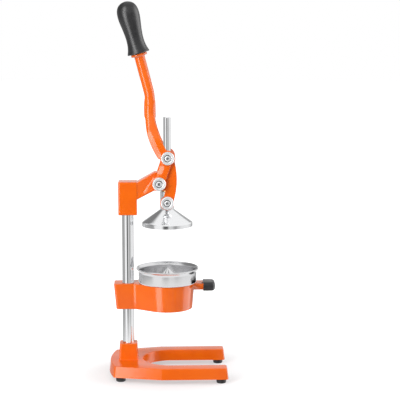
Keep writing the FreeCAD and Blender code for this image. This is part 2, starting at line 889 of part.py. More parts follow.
def make_reamer():
    """Ribbed cone that the fruit is pressed on, held by a screw from below the cup."""
    tip = size.reamer_tip_radius
    body = keep(turned_body("reamer", [
        (0, reamer_foot),
        (size.reamer_radius, reamer_foot),
        (size.reamer_radius, reamer_brim_top),
        (size.reamer_core_radius, reamer_brim_top),
        (tip, reamer_top - tip),
        arc_to(0, reamer_top, tip),
    ]))
    rib = outline(body, "rib_profile", "XZ_Plane", [
        (0, reamer_brim_top - size.reamer_brim / 2),
        (size.reamer_radius - size.reamer_brim, reamer_brim_top - size.reamer_brim / 2),
        (size.reamer_radius - size.reamer_brim, reamer_brim_top + size.reamer_brim),
        (tip, reamer_top - tip),
        (0, reamer_top - tip),
    ])
    first = pad(body, rib, size.reamer_rib_thick, "rib", both=True)
    repeat_round(body, first, size.reamer_rib_count, "ribs")
    tap = circles(body, "reamer_tap_plan", "XY_Plane",
                  (0, 0, size.reamer_screw_radius + size.fit_gap), offset=reamer_foot)
    pocket(body, tap, size.reamer_screw_bite + size.fit_gap, "reamer_tap", reverse=True)
    head = cup_floor - size.reamer_screw_head
    keep(turned_body("reamer_screw", [
        (0, head),
        (size.reamer_screw_head_radius, head),
        (size.reamer_screw_head_radius, cup_floor),
        (size.reamer_screw_radius, cup_floor),
        (size.reamer_screw_radius, reamer_foot + size.reamer_screw_bite),
        (0, reamer_foot + size.reamer_screw_bite),
    ]))


def make_press_bell():
    """Spun cone with an upright lip, open below, that drives the fruit down on the reamer."""
    bore = size.rod_radius + size.fit_gap
    lip_top = bell_rim_height + size.bell_lip
    slope = (bell_top_height - lip_top) / (size.bell_rim_radius - size.neck_radius)
    drop = size.bell_sheet * root(1 + slope * slope)
    inner_rim = size.bell_rim_radius - size.bell_sheet
    inner_lip = bell_top_height - drop - slope * (inner_rim - size.neck_radius)
    inner_neck = size.neck_radius - (drop - size.bell_sheet) / slope
    keep(turned_body("press_bell", [
        (bore, bell_top_height),
        (size.neck_radius, bell_top_height),
        (size.bell_rim_radius, lip_top),
        (size.bell_rim_radius, bell_rim_height),
        (inner_rim, bell_rim_height),
        (inner_rim, inner_lip),
        (inner_neck, bell_underside),
        (bore, bell_underside),
    ]))


def make_press_neck():
    """Sleeve fixed on the rod above the bell, bored across for the pivot bolts."""
    bore = size.rod_radius + size.fit_gap
    body = keep(turned_body("press_neck", [
        (bore, bell_top_height),
        (size.neck_radius, bell_top_height),
        (size.neck_radius, neck_top - size.neck_break),
        (size.neck_radius - size.neck_break, neck_top),
        (bore, neck_top),
    ]))
    cross = circles(body, "neck_cross_plan", "XZ_Plane",
                    (0, press_height, size.pivot_bolt_radius + size.fit_gap))
    pocket(body, cross, 4 * size.neck_radius, "neck_cross_bore", both=True)


def make_press_rod():
    """Polished rod that slides in the bracket and carries the neck and the bell."""
    foot = bell_underside - size.bell_nut_thick - size.rod_tail
    inner = size.rod_radius - size.rod_break
    keep(turned_body("press_rod", [
        (0, foot),
        (inner, foot),
        (size.rod_radius, foot + size.rod_break),
        (size.rod_radius, rod_top - size.rod_break),
        (inner, rod_top),
        (0, rod_top),
    ]))


def make_bell_nut():
    """Nut under the bell that clamps it against the neck."""
    body = keep(new_body("bell_nut"))
    plan = new_sketch(body, "bell_nut_plan", "XY_Plane", bell_underside - size.bell_nut_thick)
    add_loop(plan, hexagon(size.bell_nut_flats))
    add_circle(plan, 0, 0, size.rod_radius + size.fit_gap)
    pad(body, plan, size.bell_nut_thick, "bell_nut_block")


def make_bracket():
    """Casting on the column head: block, tapered arm, rod guide and the ears of the main pivot."""
    body = keep(new_body("bracket"))
    half, front = size.bracket_half_width, size.bracket_front_reach
    plan = outline(body, "bracket_plan", "XY_Plane",
                   rectangle(-size.bracket_rear_reach, -front, -half, half),
                   offset=bracket_foot)
    pad(body, plan, bracket_top - bracket_foot, "bracket_block")
    ease(body, "Fillet", size.bracket_round, "bracket_rear_corners",
         lambda edge: edge.BoundBox.ZLength > size.bracket_round.value
         and near(edge.CenterOfMass.x, -size.bracket_rear_reach))
    ease(body, "Fillet", size.bracket_edge_round, "bracket_rims",
         lambda edge: (near(edge.BoundBox.ZMin, bracket_top)
                       or near(edge.BoundBox.ZMax, bracket_foot))
         and not near(edge.CenterOfMass.x, -front))
    tip = size.arm_tip_half_width
    wide = size.arm_root_half_width
    arm_root = outline(body, "arm_root", "YZ_Plane",
                       rectangle(-wide, wide, arm_root_foot, arm_root_top),
                       offset=-front)
    arm_tip = outline(body, "arm_tip", "YZ_Plane",
                      rectangle(-tip, tip, arm_tip_foot, arm_tip_top),
                      offset=-size.arm_tip_reach)
    arm = body.newObject("PartDesign::AdditiveLoft", "bracket_arm")
    arm.Profile = arm_root
    arm.Sections = [arm_tip]
    arm.Ruled = True
    head = outline(body, "bracket_head_profile", "XZ_Plane",
                   rectangle(-size.arm_tip_reach, 0, arm_tip_foot, arm_tip_top))
    pad(body, head, 2 * tip, "bracket_head", both=True)
    ease(body, "Fillet", size.bracket_edge_round, "arm_edges",
         lambda edge: edge.BoundBox.XLength > size.arm_tip_reach.value
         and edge.BoundBox.XMin > -front.value - 1)
    guide = circles(body, "guide_plan", "XY_Plane", (0, 0, size.guide_radius),
                    offset=arm_tip_foot)
    pad(body, guide, arm_tip_top - arm_tip_foot, "guide")
    ears = circles(body, "ear_profile", "XZ_Plane",
                   (-size.main_back, size.main_height, size.ear_radius))
    pad(body, ears, 2 * (cheek_inner - size.ear_gap), "ears", both=True)
    bore = circles(body, "guide_bore_plan", "XY_Plane", (0, 0, size.guide_bore),
                   offset=arm_tip_top)
    pocket(body, bore, None, "guide_bore")
    socket = circles(body, "bracket_column_plan", "XY_Plane",
                     (-size.column_back, 0, size.column_radius + size.fit_gap),
                     offset=bracket_foot)
    pocket(body, socket, column_top - bracket_foot, "bracket_column_bore", reverse=True)
    for side, way in (("left", 1), ("right", -1)):
        pin = circles(body, f"main_bore_{side}_profile", "XZ_Plane",
                      (-size.main_back, size.main_height, size.pivot_bolt_radius + size.fit_gap),
                      offset=way * size.main_pin_inner)
        pocket(body, pin, cheek_inner, f"main_bore_{side}", reverse=side == "left")
    cut_set_screw_holes(body, "bracket", size.bracket_rear_reach)


def make_guide_bush():
    """Flanged bush pressed into the bracket from below, in which the rod slides."""
    bore = size.rod_radius + size.fit_gap
    foot = arm_tip_foot - size.bush_flange_thick
    keep(turned_body("guide_bush", [
        (bore, foot),
        (size.bush_flange_radius, foot),
        (size.bush_flange_radius, arm_tip_foot),
        (size.guide_bore, arm_tip_foot),
        (size.guide_bore, arm_tip_top),
        (bore, arm_tip_top),
    ]))


def link_chord():
    """Distance between the two pivots of a link."""
    rise = upper_height - press_height
    return root(rise * rise + size.upper_front * size.upper_front)


def link_crescent(chord):
    """Bowed bar between the hubs of a link, in the link's own plane."""
    half, bow, width = chord / 2, size.link_bow, size.link_half_width
    sweep = (half * half + bow * bow) / (2 * bow)
    centre = bow - sweep
    outer = (sweep + width) / sweep
    inner = (sweep - width) / sweep
    return [
        arc_to(centre - inner * centre, half - inner * half, sweep - width, "right"),
        (centre - outer * centre, half - outer * half),
        arc_to(centre - outer * centre, half + outer * half, sweep + width),
        (centre - inner * centre, half + inner * half),
    ]


def make_links():
    """Two bowed links between the lever and the neck, one on each side of the rod."""
    chord = link_chord()
    lean = slope_angle(size.upper_front, upper_height - press_height)
    for side, way in (("left", 1), ("right", -1)):
        body = keep(new_body(f"link_{side}", 0, 0, press_height))
        turn_about_y(body, lean)
        layer = way * size.link_inner
        outward = side == "right"
        bar = outline(body, f"link_{side}_bar_profile", "XZ_Plane", link_crescent(chord),
                      offset=layer)
        pad(body, bar, size.link_thick, f"link_{side}_bar", reverse=outward)
        hubs = (("lower", 0, size.link_lower_radius), ("upper", chord, size.link_upper_radius))
        for hub, level, reach in hubs:
            plan = circles(body, f"link_{side}_{hub}_profile", "XZ_Plane", (0, level, reach),
                           offset=layer)
            pad(body, plan, size.link_thick, f"link_{side}_{hub}_hub", reverse=outward)
        bore = size.pivot_bolt_radius + size.fit_gap
        bores = circles(body, f"link_{side}_bore_profile", "XZ_Plane",
                        (0, 0, bore), (0, chord, bore))
        pocket(body, bores, 4 * cheek_inner, f"link_{side}_bores", both=True)


def arm_profile():
    """Side view of the lever's lower arm: a short upright head and a long gentle bend."""
    centre = size.arm_bend_radius - size.arm_line_back
    outer = size.arm_bend_radius + size.arm_half_width
    inner = size.arm_bend_radius - size.arm_half_width
    level, angle = arm_bend_height, size.arm_bend_angle
    return [
        (centre - outer, fork_head),
        (centre - outer, level),
        arc_to(centre - outer * cosine(angle), level - outer * sine(angle), outer),
        (centre - inner * cosine(angle), level - inner * sine(angle)),
        arc_to(centre - inner, level, inner, "right"),
        (centre - inner, fork_head),
    ]


def cheek_profile():
    """Straight bar between the main pivot and the upper pivot."""
    run = size.upper_front + size.main_back
    rise = upper_height - size.main_height
    span = root(run * run + rise * rise)
    over = size.cheek_half_width * rise / span
    up = size.cheek_half_width * run / span
    return [
        (-size.main_back - over, size.main_height + up),
        (-size.main_back + over, size.main_height - up),
        (size.upper_front + over, upper_height - up),
        (size.upper_front - over, upper_height + up),
    ]


def fork_flank(way):
    """Outside of one fork cheek in front view, as the cheek draws in to the stem."""
    far = cheek_outer + size.sheet
    above = fork_head + size.sheet
    drawn_in = cheek_outer - size.fork_stem_half
    rise = arm_bend_height - fork_wide_top
    sweep = (drawn_in * drawn_in + rise * rise) / (4 * drawn_in)
    turns = ("left", "right") if way > 0 else ("right", "left")
    return [
        (way * far, fork_wide_top),
        (way * far, above),
        (way * size.fork_stem_half, above),
        (way * size.fork_stem_half, arm_bend_height),
        arc_to(way * (size.fork_stem_half + drawn_in / 2), fork_wide_top + rise / 2,
               sweep, turns[0]),
        arc_to(way * cheek_outer, fork_wide_top, sweep, turns[1]),
    ]


def fork_slot():
    """Slot between the cheeks in front view, which lets the rod and the links pass."""
    foot = size.main_height - 2 * size.main_ear_radius
    reach, crotch = size.fork_crotch_radius, fork_crotch
    return [
        (-cheek_inner, foot),
        (cheek_inner, foot),
        (cheek_inner, fork_wide_top),
        (reach, crotch),
        arc_to(0, crotch + reach, reach),
        arc_to(-reach, crotch, reach),
        (-cheek_inner, fork_wide_top),
    ]


def stem_line():
    """Start, bend and end of the stem's centre line."""
    back, knee = size.arm_line_back, stem_knee_height
    lap = size.stem_knee_round * tangent(stem_lean / 2)
    lean_x, lean_z = sine(stem_lean), cosine(stem_lean)
    start = (-back, fork_head - size.stem_lap)
    bend_start = (-back, knee - lap)
    bend_end = (-back - lap * lean_x, knee + lap * lean_z)
    end = (-back - size.stem_length * lean_x, knee + size.stem_length * lean_z)
    return start, bend_start, bend_end, end


def draw_stem_path(body):
    """Open path of the stem: straight, bent and straight again."""
    sketch = new_sketch(body, "stem_path", "XZ_Plane")
    start, bend_start, bend_end, end = stem_line()
    spots = [Vector(x.value, z.value, 0) for x, z in (start, bend_start, bend_end, end)]
    lower = sketch.addGeometry(Part.LineSegment(spots[0], spots[1]))
    bend = sketch.addGeometry(arc_edge(spots[1], spots[2], size.stem_knee_round.value, "left"))
    upper = sketch.addGeometry(Part.LineSegment(spots[2], spots[3]))
    sketch.addConstraint(Sketcher.Constraint("Coincident", lower, 2, bend, 1))
    sketch.addConstraint(Sketcher.Constraint("Coincident", bend, 2, upper, 1))
    rule = sketch.addConstraint(Sketcher.Constraint("Radius", bend, size.stem_knee_round.value))
    sketch.setExpression(f"Constraints[{rule}]", size.stem_knee_round.text)
    hold_point(sketch, lower, 1, *start)
    hold_point(sketch, bend, 1, *bend_start)
    hold_point(sketch, bend, 2, *bend_end)
    hold_point(sketch, upper, 2, *end)
    sketch.Visibility = False
    return sketch, [f"Edge{part + 1}" for part in (lower, bend, upper)]


def tilted_disc(body, name, radius, length):
    """Round boss on the end of the stem, square to its slope."""
    end_x, end_z = stem_line()[3]
    sketch = circles(body, f"{name}_plan", "XY_Plane", (0, 0, radius), offset=end_z)
    offset = sketch.AttachmentOffset
    offset.Rotation = FreeCAD.Rotation(Vector(0, 1, 0), -stem_lean.value)
    sketch.AttachmentOffset = offset
    bind(sketch, "AttachmentOffset.Base.x", end_x)
    bind(sketch, "AttachmentOffset.Rotation.Angle", -stem_lean)
    return pad(body, sketch, length, name)


def on_flank(edge):
    """Whether an edge of the arm runs along its outer sides, up to the head."""
    box = edge.BoundBox
    return box.ZLength > size.arm_half_width.value and abs(edge.CenterOfMass.y) > size.stem_radius.value


def edge_line(edge):
    """Middle line of the arm at an edge's height: in front of it the arm's front edges run."""
    drop = max(0.0, arm_bend_height.value - edge.CenterOfMass.z)
    radius = size.arm_bend_radius.value
    return radius - size.arm_line_back.value - math.sqrt(radius * radius - drop * drop)


def make_lever():
    """Casting with two cheeks that straddle the rod and join into a round stem."""
    body = keep(new_body("lever"))
    reach = 4 * size.arm_bend_radius
    arm = outline(body, "arm_profile", "XZ_Plane", arm_profile())
    pad(body, arm, 2 * cheek_outer, "arm", both=True)
    flanks = outline(body, "flank_profile", "YZ_Plane", fork_flank(1), fork_flank(-1))
    pocket(body, flanks, reach, "flanks", both=True)
    ease(body, "Fillet", size.arm_rear_round, "arm_rear_edges",
         lambda edge: on_flank(edge) and edge.CenterOfMass.x < edge_line(edge))
    ears = (("upper_ear", size.upper_front, upper_height, size.upper_ear_radius),
            ("main_ear", -size.main_back, size.main_height, size.main_ear_radius))
    cheek = outline(body, "cheek_profile", "XZ_Plane", cheek_profile())
    pad(body, cheek, 2 * cheek_outer, "cheeks", both=True)
    for name, x, z, radius in ears:
        plan = circles(body, f"{name}_profile", "XZ_Plane", (x, z, radius))
        pad(body, plan, 2 * cheek_outer, name, both=True)
    slot = outline(body, "slot_profile", "YZ_Plane", fork_slot())
    pocket(body, slot, reach, "slot", both=True)
    ease(body, "Chamfer", size.cheek_bevel, "cheek_bevel",
         lambda edge: edge.Curve.TypeId == "Part::GeomLine" and edge.BoundBox.YLength < size.sheet.value
         and edge.BoundBox.XLength > size.sheet.value
         and edge.BoundBox.XMax < size.upper_front.value
         and edge.BoundBox.ZLength > size.cheek_half_width.value
         and edge.BoundBox.ZMax < upper_height.value)
    bores = circles(body, "lever_bore_profile", "XZ_Plane",
                    *[(x, z, size.pivot_bolt_radius + size.fit_gap) for _, x, z, _ in ears])
    pocket(body, bores, 4 * cheek_outer, "lever_bores", both=True)
    start = stem_line()[0]
    ring = circles(body, "stem_section", "XY_Plane", (start[0], 0, size.stem_radius),
                   offset=start[1])
    path, edges = draw_stem_path(body)
    stem = body.newObject("PartDesign::AdditivePipe", "stem")
    stem.Profile = ring
    stem.Spine = (path, edges)
    tilted_disc(body, "collar", size.collar_radius, size.collar_thick)
    tilted_disc(body, "tang", size.tang_radius, size.collar_thick + size.tang_length)


def make_grip():
    """Pear-shaped rubber grip pushed on the tang, with a flared lip at the collar."""
    end_x, end_z = stem_line()[3]
    seat_x = end_x - size.collar_thick * sine(stem_lean)
    seat_z = end_z + size.collar_thick * cosine(stem_lean)
    lip, waist, belly = size.grip_lip_radius, size.grip_waist_radius, size.grip_belly_radius
    edge = size.grip_lip_break
    flare = lip - waist
    rise = size.grip_waist - edge
    flare_sweep = (flare * flare + rise * rise) / (2 * flare)
    swell = (belly - waist) / 2
    half_way = (size.grip_belly - size.grip_waist) / 2
    swell_sweep = (swell * swell + half_way * half_way) / (2 * swell)
    shoulder, shoulder_level = size.grip_shoulder, size.grip_shoulder_level
    draw_in = belly - shoulder
    climb = shoulder_level - size.grip_belly
    shoulder_sweep = (draw_in * draw_in + climb * climb) / (2 * draw_in)
    crown = size.grip_length - shoulder_level
    crown_sweep = (shoulder * shoulder + crown * crown) / (2 * crown)
    body = keep(turned_body("grip", [
        (size.tang_radius, 0),
        (lip - edge, 0),
        (lip, edge),
        arc_to(waist, size.grip_waist, flare_sweep, "right"),
        arc_to(waist + swell, size.grip_waist + half_way, swell_sweep, "right"),
        arc_to(belly, size.grip_belly, swell_sweep),
        arc_to(shoulder, shoulder_level, shoulder_sweep),
        arc_to(0, size.grip_length, crown_sweep),
        (0, size.tang_length),
        (size.tang_radius, size.tang_length),
    ], seat_x, 0, seat_z))
    turn_about_y(body, -stem_lean)


def pivot_washer(label, x, z, face):
    """Chromed cover washer on the right side, with a recess for the bolt head."""
    floor = size.washer_thick - size.washer_recess_depth
    hole = size.pivot_bolt_radius + size.fit_gap
    return turned_body(label, [
        (hole, 0),
        (size.washer_radius, 0),
        (size.washer_radius, size.washer_thick - size.washer_break),
        (size.washer_radius - size.washer_break, size.washer_thick),
        (size.washer_recess_radius, size.washer_thick),
        (size.washer_recess_radius, floor),
        (hole, floor),
    ], x, face, z, plane="XY_Plane")


def pivot_bolt(label, x, z, face, depth):
    """Socket-head bolt on the right side, from the washer's recess inward to a depth."""
    seat = size.washer_thick - size.washer_recess_depth
    top = seat + size.pivot_head_tall
    head, lip = size.pivot_head_radius, size.pivot_head_break
    body = turned_body(label, [
        (0, -depth),
        (size.pivot_bolt_radius, -depth),
        (size.pivot_bolt_radius, seat),
        (head, seat),
        (head, top - lip),
        (head - lip, top),
        (0, top),
    ], x, face, z, plane="XY_Plane")
    key = outline(body, f"{label}_key_profile", "XZ_Plane",
                  hexagon(2 * size.pivot_socket_radius), offset=-top)
    pocket(body, key, size.pivot_head_tall / 2, f"{label}_key", reverse=True)
    return body


def make_pivot(name, x, z, face, inner):
    """Washers and bolts of one pivot, the same on both sides of the press."""
    washers, bolts = [], []
    for side, turn, layer in (("right", 0, face), ("left", 180, -face)):
        pieces = (pivot_washer(f"{name}_washer_{side}", x, z, layer),
                  pivot_bolt(f"{name}_bolt_{side}", x, z, layer, face - inner))
        for body in pieces:
            place = body.Placement
            place.Rotation = FreeCAD.Rotation(Vector(0, 0, 1), turn)
            body.Placement = place
        washers.append(pieces[0])
        bolts.append(pieces[1])
    group(f"{name}_washers", washers)
    group(f"{name}_bolts", bolts)


def make_pivots():
    """Main pivot on the bracket, upper pivot on the lever, press pivot on the links."""
    link_outer = size.link_inner + size.link_thick
    stop = size.link_inner - size.pivot_tip_gap
    make_pivot("main_pivot", -size.main_back, size.main_height, cheek_outer, size.main_pin_inner
               + size.fit_gap)
    make_pivot("upper_pivot", size.upper_front, upper_height, cheek_outer, size.link_inner)
    make_pivot("press_pivot", 0, press_height, link_outer, stop)


def check_model():
    """Stop when any feature failed or any sub-part has no sound shape."""
    doc.recompute()
    failed = [item.Label for item in doc.Objects if {"Invalid", "Error"} & set(item.State)]
    failed += [item.Label for item in nodes if item.Shape.isNull() or not item.Shape.isValid()]
    if failed:
        raise RuntimeError("failed: " + ", ".join(failed))


def export_parts():
    """Write each sub-part to a file of its own name."""
    os.makedirs("parts", exist_ok=True)
    for item in nodes:
        item.Shape.exportStep(os.path.join("parts", f"{item.Label}.step"))


make_base()
make_feet()
make_column()
make_column_bolt()
make_cup_holder()
make_set_screws()
make_bumper_cap()
make_juice_funnel()
make_strainer_cup()
make_reamer()
make_press_bell()
make_press_neck()
make_press_rod()
make_bell_nut()
make_bracket()
make_guide_bush()
make_links()
make_lever()
make_grip()
make_pivots()
check_model()
export_parts()
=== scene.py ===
"""Looks of a lever citrus press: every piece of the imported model, dressed, with a studio stage."""
import json
import math

import bmesh
import bpy
from bpy.props import FloatProperty, FloatVectorProperty, IntProperty, PointerProperty
from mathutils import Matrix, Vector

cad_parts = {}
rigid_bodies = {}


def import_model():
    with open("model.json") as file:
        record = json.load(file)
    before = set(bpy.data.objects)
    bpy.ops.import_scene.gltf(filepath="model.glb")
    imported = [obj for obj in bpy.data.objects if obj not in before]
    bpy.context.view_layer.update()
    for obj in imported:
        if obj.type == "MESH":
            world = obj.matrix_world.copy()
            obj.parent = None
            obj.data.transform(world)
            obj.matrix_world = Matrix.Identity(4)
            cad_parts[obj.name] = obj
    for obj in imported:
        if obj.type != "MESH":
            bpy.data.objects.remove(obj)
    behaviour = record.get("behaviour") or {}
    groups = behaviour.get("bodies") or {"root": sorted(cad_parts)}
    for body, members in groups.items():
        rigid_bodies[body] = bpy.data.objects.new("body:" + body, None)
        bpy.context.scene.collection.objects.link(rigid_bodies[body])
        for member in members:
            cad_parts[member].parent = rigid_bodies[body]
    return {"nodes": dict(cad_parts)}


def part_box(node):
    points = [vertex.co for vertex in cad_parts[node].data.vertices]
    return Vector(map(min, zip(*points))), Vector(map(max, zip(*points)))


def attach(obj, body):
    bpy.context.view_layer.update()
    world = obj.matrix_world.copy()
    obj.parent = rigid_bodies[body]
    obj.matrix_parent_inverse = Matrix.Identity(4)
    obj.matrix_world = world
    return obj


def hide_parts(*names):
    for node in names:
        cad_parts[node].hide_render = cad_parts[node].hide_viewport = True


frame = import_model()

bl_info = {
    "name": "Lever Citrus Press",
    "version": (1, 0, 0),
    "blender": (4, 5, 0),
    "location": "View3D > Sidebar > Press",
    "description": "Models and dresses the pieces of a lever citrus press",
    "category": "Add Mesh",
}

MM = 0.001
WELD = 0.002 * MM
FULL_TURN = math.tau
SIDES = (-1, 1)  # signs of y to the left and to the right
CORNERS = ("front_left", "front_right", "rear_left", "rear_right")
ORIGIN = (0, 0, 0)
UP = Vector((0, 0, 1))
WHITE = (1, 1, 1, 1)
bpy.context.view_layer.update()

# Degrees between faces that make one flat, then sizes in millimetres
FLAT_ANGLE = 0.6
BRIM_EASE = 0.02
ROD_BORE = 7.1
DISC_DEPTH = 4.4

# The room as polished metal sees it: (turn, grey) stops from behind by way of the left, for low
# and for raised lines of sight, and the heights between which one gives way to the next
LEVEL_BANDS = (
    (0.00, 1.0), (0.03, 0.95), (0.055, 0.50), (0.206, 0.42), (0.29, 0.36), (0.317, 0.40),
    (0.339, 0.95), (0.43, 1.0), (0.453, 0.25), (0.467, 0.08), (0.503, 0.12), (0.516, 0.60),
    (0.53, 0.72), (0.561, 0.66), (0.589, 0.38), (0.611, 0.36), (0.639, 0.62), (0.689, 0.85),
    (0.79, 0.92), (0.847, 0.75), (0.917, 0.40), (0.94, 0.45), (0.97, 0.95), (1.00, 1.0))
RAISED_BANDS = (
    (0.00, 0.95), (0.025, 0.90), (0.045, 0.24), (0.10, 0.22), (0.28, 0.28), (0.34, 0.95),
    (0.66, 1.0), (0.915, 1.0), (0.935, 0.36), (0.96, 0.36), (0.98, 0.95), (1.00, 0.95))
RAISED_FROM, CEILING_FROM, GROUND_TO = (0.10, 0.30), (0.70, 0.86), (-0.42, -0.28)
ROOM_MIRRORS = ("column_chrome", "rod_chrome", "bell_chrome", "cup_steel", "reamer_steel")

# The lever's skin: its grain, and the zone round the foot of the stem that is smoothed most
SKIN_GRAIN = 0.9 * MM
SKIN_PASSES = 6
JOIN_FOOT, JOIN_HEAD, JOIN_MARGIN = 516 * MM, 526 * MM, 8 * MM
JOIN_PASSES = 30

# The lever's arm and stem in millimetres; the spans are levels, or degrees round the bend
BEND_X, BEND_Z, BEND_RADIUS = 118.6, 500.0, 150.0
ARM_HALF = 10.8
ARM_ROUNDS, ARM_NARROWS, ARM_THICKENS = (452, 500), (507, 520), (495, 520)
ARM_LEAN_RISE, ARM_LEAN_FALL, ARM_CUT = (4, 18), (30, 36), (10.5, 3.6)
STEM_START, STEM_FOOT = 520, (-31.4, 0, 529.0)
STEM_RADIUS, STEM_SPAN, STEM_SKIN = 9.6, (9, 70), (8.4, 10.8)

# The lever's lower cheeks in millimetres, measured down the line between the two pivots
CHEEK_X, CHEEK_Z = 1.0, 414.4
CHEEK_SINE, CHEEK_COSINE = 0.3187, 0.948
CHEEK_HALF, CHEEK_GAP = 9.8, 19
CHEEK_LEAN_RISE, CHEEK_LEAN_FALL, CHEEK_CUT = (12, 18), (32, 38), (10.0, 3.4)
LEAST_CUT = 0.3
TINY = 1e-6


# Sizes and colours that a user may change

class PressSizes(bpy.types.PropertyGroup):
    """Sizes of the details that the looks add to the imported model."""
    column_reach: FloatProperty(
        name="Column Position", description="Distance of the column's axis behind the press axis",
        default=74 * MM, unit="LENGTH")
    turn_steps: IntProperty(
        name="Turning Steps", description="Faces round a turned piece", default=96, min=24,
        max=256)
    lever_lean: FloatProperty(
        name="Lever Lean", description="How far the lever's stem leans back from upright",
        default=math.radians(14.6), subtype="ANGLE")
    grip_seat: FloatVectorProperty(
        name="Grip Seat", description="Where the grip's axis meets the lever's collar",
        default=(-51.31 * MM, 0, 605.45 * MM), size=3, subtype="XYZ", unit="LENGTH")
    reamer_ribs: IntProperty(
        name="Reamer Ribs", description="Ribs on the reamer", default=10, min=4, max=24)
    inner_holes: IntProperty(
        name="Inner Holes", description="Juice holes in the cup's inner ring", default=20, min=4)
    outer_holes: IntProperty(
        name="Outer Holes", description="Juice holes in the cup's outer ring", default=24, min=4)


def tint(name, description, default):
    """Property for one colour."""
    return FloatVectorProperty(name=name, description=description, default=default, size=3,
                               subtype="COLOR", min=0, max=1)


class PressColours(bpy.types.PropertyGroup):
    """Colours of the press and its stage."""
    enamel: tint("Enamel", "Gloss enamel on the castings", (0.74, 0.119, 0.001))
    enamel_deep: tint("Enamel Pooled", "Enamel where it lies thick", (0.70, 0.100, 0.001))
    rubber: tint("Rubber", "Grip, cap and feet", (0.010, 0.010, 0.0108))
    chrome: tint("Chrome", "Plated bars and washers", (0.90, 0.905, 0.915))
    steel: tint("Stainless Steel", "Cup, funnel and reamer", (0.78, 0.78, 0.79))
    zinc: tint("Zinc Plate", "Small screws and nuts", (0.62, 0.63, 0.65))
    bronze: tint("Bronze", "Guide bush", (0.62, 0.42, 0.20))


class PressStage(bpy.types.PropertyGroup):
    """Camera, lamps and floor of the studio."""
    lens: FloatProperty(name="Lens", description="Focal length of the camera", default=117,
                        min=20, max=300, subtype="DISTANCE_CAMERA")
    stand: FloatVectorProperty(name="Camera Stand", description="Place of the camera",
                               default=(-0.0225, -2.4, 0.704), size=3, subtype="XYZ",
                               unit="LENGTH")
    pitch: FloatProperty(name="Camera Pitch", description="How far the camera looks down",
                         default=math.radians(8.79), subtype="ANGLE")
    yaw: FloatProperty(name="Camera Yaw", description="How far the camera turns to the right",
                       default=math.radians(2.0), subtype="ANGLE")
    key_power: FloatProperty(name="Key Lamp", description="Power of the left strip lamp",
                             default=100, subtype="POWER")
    fill_power: FloatProperty(name="Fill Lamp", description="Power of the broad front lamp",
                              default=10, subtype="POWER")
    rim_power: FloatProperty(name="Side Lamp", description="Power of the right side lamp",
                             default=58, subtype="POWER")
    sky: FloatProperty(name="Room Light", description="Brightness of the white room",
                       default=0.50, min=0, max=4)


# Shader arithmetic

class Signal:
    """A shader socket that takes part in sums as a number does."""

    def __init__(self, finish, socket):
        self.finish = finish
        self.socket = socket

    def maths(self, operation, first, second):
        """Math node on two numbers or signals."""
        return self.finish.node("ShaderNodeMath", {"operation": operation}, {0: first, 1: second})

    def __add__(self, other):
        return self.maths("ADD", self, other)

    def __sub__(self, other):
        return self.maths("SUBTRACT", self, other)

    def __rsub__(self, other):
        return self.maths("SUBTRACT", other, self)

    def __mul__(self, other):
        return self.maths("MULTIPLY", self, other)

    def __truediv__(self, other):
        return self.maths("DIVIDE", self, other)

    def ramp(self, low, high):
        """Smooth step from 0 at low to 1 at high."""
        return self.finish.node("ShaderNodeMapRange", {"interpolation_type": "SMOOTHSTEP"},
                                {"Value": self, "From Min": low, "From Max": high})


